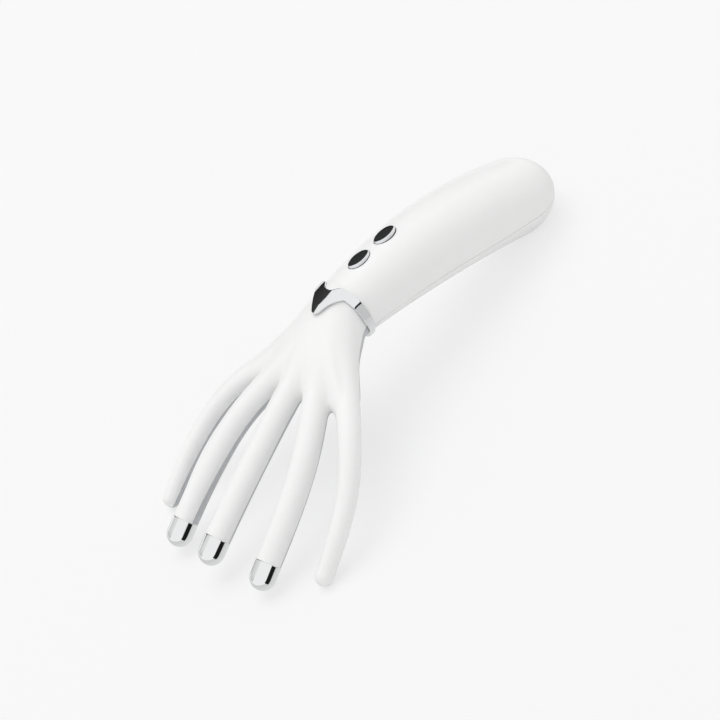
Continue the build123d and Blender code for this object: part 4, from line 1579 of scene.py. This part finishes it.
# ------------------------------------------------------------------ the collar
@dataclass
class Collar:
    """The chrome ring at the neck, with its pointed tongue over the back of the hand."""

    hand: Hand
    handle: Handle
    radius: float = 15.1
    proud: float = 0.22
    tip_rise: float = 0.35
    rise_start: float = 5.0
    rise_run: float = 8.0
    blend_start: float = -0.5
    blend_run: float = 5.5
    wall: float = 1.0
    lip: float = 0.1
    columns: int = 300
    rows: int = 30

    def surface(self, points: np.ndarray) -> np.ndarray:
        """The field of the collar's outside: round at the ring, following the hand at the tongue.

        Args:
            points: Points of the part's frame.

        Returns:
            One distance for each point.
        """
        local = NECK.local(points)
        ring = np.hypot(local[:, 1], local[:, 2]) - self.radius
        rise = self.tip_rise * smooth_step((local[:, 0] - self.rise_start) / self.rise_run)
        over = self.hand.palm(points) - self.proud - rise
        share = smooth_step((local[:, 0] - self.blend_start) / self.blend_run)
        return ring * (1 - share) + over * share

    def make(self) -> None:
        """Builds the collar and seats it."""
        turns = np.linspace(0, 2 * pi, self.columns, endpoint=False)
        side, above = self.radius * np.cos(turns), self.radius * np.sin(turns)
        ring = np.stack([np.zeros_like(side), side, above], 1)
        start = self.handle.neck_edge(NECK.world(ring)) + self.handle.neck_gap
        finish = np.maximum(self.hand.ring_front(ring), self.hand.tongue_front(ring))
        share = np.linspace(0, 1, self.rows)[:, None]
        ahead = start * (1 - share) + finish * share
        grid = np.stack([ahead, np.broadcast_to(side, ahead.shape), np.broadcast_to(above, ahead.shape)], -1)
        points = settle(NECK.world(grid.reshape(-1, 3)), self.surface, 6, held=NECK.axes()[0])
        skin = grid_skin(points.reshape(self.rows, self.columns, 3), closed=True).turned()
        piece = shell(skin, "neck_collar", self.wall, self.lip)
        seat(dress(piece, COLLAR_CHROME), Body.MASSAGER, "silver_chrome", "collar_ring")


# ------------------------------------------------------------------ buttons, caps and screws
@dataclass
class PushButton:
    """A domed oval chrome button."""

    name: str
    body: Body
    node: str
    half_length: float = 6.05
    half_width: float = 3.75
    top: float = 10.25
    crown: float = 0.12
    edge: float = 1.5
    drop: float = 0.75
    foot: float = 7.7
    hub: float = 0.05
    face_rings: int = 10
    edge_rings: int = 9
    sides: int = 96

    def make(self) -> None:
        """Builds the button and seats it."""
        place = BOARD.moved(ahead=BUTTON_ALONG[self.name])
        turns = np.linspace(0, 2 * pi, self.sides, endpoint=False)
        rows = []
        for share in np.linspace(self.hub, 1, self.face_rings):
            rows.append((share * (self.half_length - self.edge), share * (self.half_width - self.edge),
                         self.top - self.crown * share**2))
        for turn in np.linspace(0, pi / 2, self.edge_rings)[1:]:
            inset = self.edge * (1 - sin(turn))
            height = self.top - self.crown - self.drop * (1 - cos(turn))
            rows.append((self.half_length - inset, self.half_width - inset, height))
        rows.append((self.half_length, self.half_width, self.foot))
        rows = [
            np.stack([length * np.cos(turns), width * np.sin(turns), np.full_like(turns, height)], 1)
            for length, width, height in rows
        ]
        skin = grid_skin(place.world(np.array(rows)), closed=True)
        count = len(skin.points)
        last = count - self.sides
        skin.points = np.concatenate([skin.points, place.world([(0, 0, self.top), (0, 0, self.foot)])])
        for i in range(self.sides):
            after = (i + 1) % self.sides
            skin.faces.append((count, after, i))
            skin.faces.append((count + 1, last + i, last + after))
        piece = dress(skin.turned().make(f"{self.name}_button_cap"), BUTTON_CHROME)
        seat(piece, self.body, "silver_chrome", self.node)


@dataclass
class FingerCap:
    """A chrome contact cap: a short straight tube with a round end, made with geometry nodes."""

    finger: Finger
    radius: float = 5.95
    straight: float = 6.7
    wall: float = 0.6
    lip: float = 0.2
    rings: int = 16
    dome_rings: int = 14
    sides: int = 72

    def make(self) -> None:
        """Builds the cap and seats it."""
        place, way = self.finger.end()
        seeds = seeds_object(f"{self.finger.name}_cap_seat", place[None])
        store(seeds, "aim", way[None])
        tree = NodeSweep(f"{self.finger.name}_cap_tree")
        radius = tree.size("Radius", self.radius * MM)
        straight = tree.size("Straight Length", self.straight * MM)
        rings = tree.size("Straight Rings", self.rings, "NodeSocketInt")
        dome = tree.size("Dome Rings", self.dome_rings, "NodeSocketInt")
        sides = tree.size("Sides", self.sides, "NodeSocketInt")
        count = tree.math("ADD", tree.math("ADD", rings, dome), 1.0)
        index = tree.add("GeometryNodeInputIndex").outputs[0]
        run = tree.math("MINIMUM", tree.math("DIVIDE", index, rings), 1.0)
        turn = tree.math("MAXIMUM", tree.math("DIVIDE", tree.math("SUBTRACT", index, rings), dome), 0.0)
        angle = tree.math("MULTIPLY", turn, pi / 2)
        height = tree.math("MULTIPLY", run, straight)
        height = tree.math("ADD", height, tree.math("MULTIPLY", tree.math("SINE", angle), radius))
        girth = tree.math("MULTIPLY", tree.math("COSINE", angle), radius)
        tube = tree.tube(tree.axis(count, height, girth), sides)
        skin = skin_of(tree.run(seeds, tree.at_seeds(tube), CONTACT_CHROME))
        along = (skin.points[skin.faces[0][0]] - place) @ way
        if not skin.faces_away(0, place + along * way):
            skin = skin.turned()
        piece = shell(skin, f"{self.finger.name}_contact_cap", self.wall, self.lip)
        node = f"electrode_cap_{self.finger.name}"
        seat(dress(piece, CONTACT_CHROME), Body.MASSAGER, "contact_chrome", node)


@dataclass
class ClosingScrews:
    """Pan-head screws with a cross recess, made with geometry nodes at their seats."""

    name: str
    node: str
    seats: tuple[Place, ...]
    head: float = 1.8
    height: float = 1.2
    shank: float = 0.9
    length: float = 9.0
    slot: float = 0.42
    slot_reach: float = 1.15
    depth: float = 0.7
    pitch: float = 0.8
    root_share: float = 0.78
    head_fall: float = 0.45
    point: float = 1.2
    head_rings: int = 8
    sides: int = 40

    def profile(self) -> np.ndarray:
        """Draws the screw's outline, from the middle of its head to its point.

        Returns:
            For each point its distance from the axis and its height over the seat; the head is below.
        """
        turns = np.linspace(0, pi / 2, self.head_rings)
        rise = [(self.head * sin(a), -self.height + self.head_fall * (1 - cos(a))) for a in turns]
        thread = []
        for i in range(int((self.length - self.point) / self.pitch)):
            base = i * self.pitch
            thread.append((self.shank * self.root_share, base + 0.25 * self.pitch))
            thread.append((self.shank, base + 0.75 * self.pitch))
        return np.array(rise + [(self.head, 0), (self.shank, 0), *thread, (0.0, self.length)])

    def make(self) -> None:
        """Builds the screws and seats them."""
        profile = self.profile()
        seeds = seeds_object(self.name, np.array([place.origin for place in self.seats]))
        store(seeds, "aim", np.array([place.axes()[2] for place in self.seats]))
        tree = NodeSweep(f"{self.name}_tree")
        head = tree.size("Head Radius", self.head * MM)
        slot = tree.size("Slot Width", self.slot * MM)
        depth = tree.size("Slot Depth", self.depth * MM)
        tall = tree.size("Head Height", self.height * MM)
        sides = tree.size("Sides", self.sides, "NodeSocketInt")
        body = tree.tube(self.outline(tree, profile), sides)
        body = tree.add("GeometryNodeMergeByDistance", Geometry=body.outputs[0], Distance=WELD)
        reach = tree.math("MULTIPLY", head, self.slot_reach)
        deep = tree.math("MULTIPLY", depth, 2.0)
        cuts = tree.add("GeometryNodeJoinGeometry")
        for first, second in ((reach, slot), (slot, reach)):
            size = tree.add("ShaderNodeCombineXYZ", X=first, Y=second, Z=deep).outputs[0]
            cube = tree.add("GeometryNodeMeshCube", Size=size)
            tree.tree.links.new(cube.outputs[0], cuts.inputs[0])
        lower = tree.add("ShaderNodeCombineXYZ", Z=tree.math("MULTIPLY", tall, -1.0)).outputs[0]
        moved = tree.add("GeometryNodeSetPosition", Geometry=cuts.outputs[0], Offset=lower)
        carved = tree.add("GeometryNodeMeshBoolean", {"operation": "DIFFERENCE", "solver": "EXACT"},
                          Mesh_1=body.outputs[0], Mesh_2=moved.outputs[0], Self_Intersection=True)
        piece = tree.run(seeds, tree.at_seeds(carved), SCREW_STEEL)
        seat(dress(piece, SCREW_STEEL), Body.MASSAGER, "screw_steel", self.node)

    def outline(self, tree: NodeSweep, profile: np.ndarray) -> bpy.types.NodeSocket:
        """The screw's axis as a curve, with the outline's radius stored on its points.

        Args:
            tree: The tree that is being built.
            profile: Radius and height of each point.

        Returns:
            The curve's socket.
        """
        index = tree.add("GeometryNodeInputIndex").outputs[0]
        steps = len(profile) - 1
        sockets = []
        for column in (0, 1):
            values = profile[:, column]
            low, high = float(values.min()), float(values.max())
            curve = tree.add("ShaderNodeFloatCurve", Value=tree.math("DIVIDE", index, float(steps)))
            points = curve.mapping.curves[0].points
            for i, value in enumerate(values):
                place = (i / steps, (value - low) / (high - low))
                if i in (0, steps):
                    points[0 if i == 0 else -1].location = place
                else:
                    points.new(*place)
            for point in points:
                point.handle_type = "VECTOR"
            curve.mapping.update()
            scaled = tree.math("MULTIPLY", curve.outputs[0], (high - low) * MM)
            sockets.append(tree.math("ADD", scaled, low * MM))
        return tree.axis(len(profile), sockets[1], sockets[0])


# ------------------------------------------------------------------ the studio
@dataclass(frozen=True)
class SoftBox:
    """A square lamp: its place and side in metres, and its power in watts."""

    name: str
    place: tuple[float, float, float]
    size: float
    power: float


@dataclass(frozen=True)
class Flag:
    """A curved board that only mirrors see: its direction from the object and half its spread, in degrees.

    The tones say how bright its lower and its upper edge look, and far is its distance in metres.
    """

    name: str
    azimuth: float
    elevation: float
    spread: tuple[float, float]
    tones: tuple[float, float]
    far: float = 1.2

    def goes_round(self) -> bool:
        """Whether the board is a closed ring."""
        return self.spread[0] >= 180


@dataclass
class Studio:
    """A pale floor, soft light, the flags and cards that the chrome reflects, and the camera."""

    lamps: tuple[SoftBox, ...] = (
        SoftBox("key_softbox", (-0.4, -0.9, 2.8), 2.4, 38.0),
        SoftBox("fill_softbox", (1.8, 2.2, 2.4), 2.0, 5.0),
    )
    flags: tuple[Flag, ...] = (
        Flag("rear_flag", -114.0, 27.5, (42.0, 32.5), (0.02, 0.05)),
        Flag("sliver_flag", 116.0, 19.5, (16.0, 3.6), (0.02, 0.02)),
        Flag("low_flag", 108.0, -9.5, (34.0, 25.0), (0.62, 0.62)),
        Flag("side_flag", -52.0, 26.0, (24.0, 34.0), (0.58, 0.86)),
        Flag("table_flag", 0.0, -52.0, (180.0, 37.0), (0.8, 0.66), 1.6),
    )
    flag_grid: tuple[int, int] = (13, 25)
    flag_taper: float = 0.75
    floor_size: float = 6.0
    floor_tone: float = 0.9
    floor_glow: float = 0.72
    floor_lift: float = 0.672
    floor_roughness: float = 0.9
    floor_shine: float = 0.1
    floor_grain: Noise = Noise(60.0, 2.0)
    floor_evenness: float = 0.997
    ambient: float = 0.7
    card_gap: float = 12.0
    card_run: tuple[float, float] = (-0.5, 13.5)
    card_heights: tuple[float, float] = (-2.8, 4.0)
    card_tone: float = 0.012
    aim_height: float = 0.03
    flag_height: float = 0.04
    backdrop: float = 0.95
    camera_place: tuple[float, float, float] = (0.423126, 1.037678, 0.950289)
    right: tuple[float, float, float] = (-0.63217, 0.64194, -0.43390)
    up: tuple[float, float, float] = (-0.71974, -0.27912, 0.63566)
    back: tuple[float, float, float] = (0.28695, 0.71414, 0.63848)
    lens: float = 163.05
    sensor: float = 36.0
    clip: tuple[float, float] = (0.05, 20.0)

    def make(self, fingers: Sequence[Finger]) -> None:
        """Sets up everything around the object.

        Args:
            fingers: The fingers whose caps get a dark card each.
        """
        self.light_world()
        self.lay_floor()
        for lamp in self.lamps:
            self.hang_lamp(lamp)
        for flag in self.flags:
            self.hang_flag(flag)
        for finger in fingers:
            self.stand_card(finger)
        self.aim_camera()
        bpy.context.scene.view_settings.view_transform = "Standard"

    def light_world(self) -> None:
        """A pale world that the camera and mirrors see, and dimmer light from it on the object."""
        world = bpy.data.worlds.new("studio")
        bpy.context.scene.world = world
        world.use_nodes = True
        nodes, links = world.node_tree.nodes, world.node_tree.links
        nodes.clear()
        rays = nodes.new("ShaderNodeLightPath")
        seen = rays.outputs["Is Camera Ray"]
        for name in ("Is Glossy Ray", "Is Transmission Ray"):
            both = nodes.new("ShaderNodeMath")
            both.operation = "MAXIMUM"
            links.new(seen, both.inputs[0])
            links.new(rays.outputs[name], both.inputs[1])
            seen = both.outputs[0]
        level = nodes.new("ShaderNodeMapRange")
        level.inputs["To Min"].default_value = self.ambient
        level.inputs["To Max"].default_value = self.backdrop
        links.new(seen, level.inputs["Value"])
        background = nodes.new("ShaderNodeBackground")
        background.inputs["Color"].default_value = (1, 1, 1, 1)
        links.new(level.outputs["Result"], background.inputs["Strength"])
        output = nodes.new("ShaderNodeOutputWorld")
        links.new(background.outputs[0], output.inputs[0])

    def lay_floor(self) -> None:
        """A large pale floor that keeps the object's shadow."""
        half = self.floor_size / 2 / MM
        corners = np.array([(-half, -half, 0), (half, -half, 0), (half, half, 0), (-half, half, 0)], float)
        floor = Skin(corners, [(0, 1, 2, 3)]).make("studio_floor")
        nodes = Nodes("studio_floor_paint")
        nodes.tune(nodes.shader, Roughness=self.floor_roughness, Specular_IOR_Level=self.floor_shine)
        nodes.tune(nodes.shader, Emission_Color=(1, 1, 1, 1))
        grain = nodes.noise(self.floor_grain)
        rays = nodes.add("ShaderNodeLightPath")
        shares = []
        for tone in (self.floor_tone, self.floor_tone * (1 - self.floor_glow)):
            shares.append(nodes.ranged(grain, "Fac", tone * self.floor_evenness, tone))
        tone = nodes.add("ShaderNodeMix", data_type="FLOAT")
        nodes.join(rays, "Is Camera Ray", tone, "Factor")
        nodes.join(shares[0], "Result", tone, "A")
        nodes.join(shares[1], "Result", tone, "B")
        nodes.join(tone, "Result", nodes.shader, "Base Color")
        lift = nodes.ranged(rays, "Is Camera Ray", 0.0, self.floor_lift)
        nodes.join(lift, "Result", nodes.shader, "Emission Strength")
        floor.visible_glossy = False
        floor.data.materials.append(nodes.material)

    def hang_lamp(self, box: SoftBox) -> None:
        """Hangs a soft box that faces the object.

        Args:
            box: The lamp.
        """
        lamp = bpy.data.lights.new(box.name, "AREA")
        lamp.shape = "SQUARE"
        lamp.size = box.size
        lamp.energy = box.power
        hung = bpy.data.objects.new(box.name, lamp)
        hung.location = box.place
        hung.visible_glossy = False
        aim = Vector(box.place) - Vector((0, 0, self.aim_height))
        hung.rotation_euler = aim.to_track_quat("Z", "Y").to_euler()
        bpy.context.scene.collection.objects.link(hung)

    def hang_flag(self, board: Flag) -> None:
        """Hangs a flag, lower towards its two ends unless it goes all the way round.

        Args:
            board: The flag.
        """
        width, height = board.spread
        rows = []
        for rise in np.linspace(-height, height, self.flag_grid[0]):
            row = []
            for turn in np.linspace(-width, width, self.flag_grid[1]):
                narrow = 1.0 if board.goes_round() else 1 - self.flag_taper * (turn / width) ** 4
                a, e = radians(board.azimuth + turn), radians(board.elevation + rise * narrow)
                run = board.far * cos(e)
                row.append((run * cos(a), run * sin(a), self.flag_height + board.far * sin(e)))
            rows.append(row)
        flag = grid_skin(np.array(rows) / MM).make(board.name)
        store(flag, "tone", np.repeat(np.linspace(*board.tones, self.flag_grid[0]), self.flag_grid[1]))
        self.felt(flag, False)

    def stand_card(self, finger: Finger) -> None:
        """Stands a small dark card beside a finger's cap; only mirrors see it, and only from the cap's side.

        Args:
            finger: The finger that has the cap.
        """
        place, way = finger.end()
        side = unit(np.cross(way, (0, 0, 1)))
        side = side if side[1] > 0 else -side
        above = np.cross(side, way)
        above = above if above[2] > 0 else -above
        rows = [
            [place + way * along + side * self.card_gap + above * height for along in self.card_run]
            for height in self.card_heights
        ]
        card = grid_skin(np.array(rows)).make(f"{finger.name}_card")
        store(card, "tone", np.full(4, self.card_tone))
        if np.array(card.data.polygons[0].normal) @ side > 0:
            card.data.flip_normals()
        self.felt(card, True)

    def felt(self, flag: bpy.types.Object, one_sided: bool) -> None:
        """Dresses a flag in its own plain tone, seen by mirrors alone.

        Args:
            flag: The flag, with its tone stored on its points.
            one_sided: Whether it is clear from behind.
        """
        nodes = Nodes(f"{flag.name}_felt")
        tone = nodes.add("ShaderNodeAttribute", attribute_name="tone")
        glow = nodes.add("ShaderNodeEmission")
        nodes.join(tone, "Fac", glow, "Strength")
        if one_sided:
            back = nodes.add("ShaderNodeNewGeometry")
            clear = nodes.add("ShaderNodeBsdfTransparent")
            mix = nodes.add("ShaderNodeMixShader")
            nodes.join(back, "Backfacing", mix, "Fac")
            nodes.tree.links.new(glow.outputs[0], mix.inputs[1])
            nodes.tree.links.new(clear.outputs[0], mix.inputs[2])
            nodes.tree.links.new(mix.outputs[0], nodes.output.inputs["Surface"])
        else:
            nodes.tree.links.new(glow.outputs[0], nodes.output.inputs["Surface"])
        nodes.tree.nodes.remove(nodes.shader)
        flag.data.materials.append(nodes.material)
        flag.visible_camera = False
        flag.visible_diffuse = False
        flag.visible_shadow = False
        flag.visible_transmission = False

    def aim_camera(self) -> None:
        """Puts up the camera."""
        camera = bpy.data.cameras.new("camera")
        camera.lens = self.lens
        camera.sensor_width = self.sensor
        camera.clip_start, camera.clip_end = self.clip
        held = bpy.data.objects.new("camera", camera)
        turn = Matrix((self.right, self.up, self.back)).transposed().to_4x4()
        held.matrix_world = Matrix.Translation(self.camera_place) @ turn
        bpy.context.scene.collection.objects.link(held)
        bpy.context.scene.camera = held


def dress_nodes() -> None:
    """Gives every CAD node its finish, also those that a finer piece stands for."""
    left = set(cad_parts)
    for finish, names in NODE_FINISHES.items():
        for name in names:
            dress(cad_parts[name], finish)
            left.discard(name)
    LOG.info("nodes without a finish: %s", sorted(left))


def main() -> None:
    """Builds the massager's looks and its studio."""
    logging.basicConfig(level=logging.INFO, format="%(name)s: %(message)s")
    handle, hand = Handle(ARC), Hand()
    handle.make()
    hand.make()
    Collar(hand, handle).make()
    PushButton("mode", Body.MODE, "mode_button").make()
    PushButton("power", Body.POWER, "power_button").make()
    for finger in hand.capped():
        FingerCap(finger).make()
    ClosingScrews("cover_closing_screws", "cover_screws", COVER_SCREWS).make()
    ClosingScrews("hand_closing_screws", "hand_screws", HAND_SCREWS).make()
    dress_nodes()
    Studio().make(hand.capped())


if __name__ == "__main__":
    main()
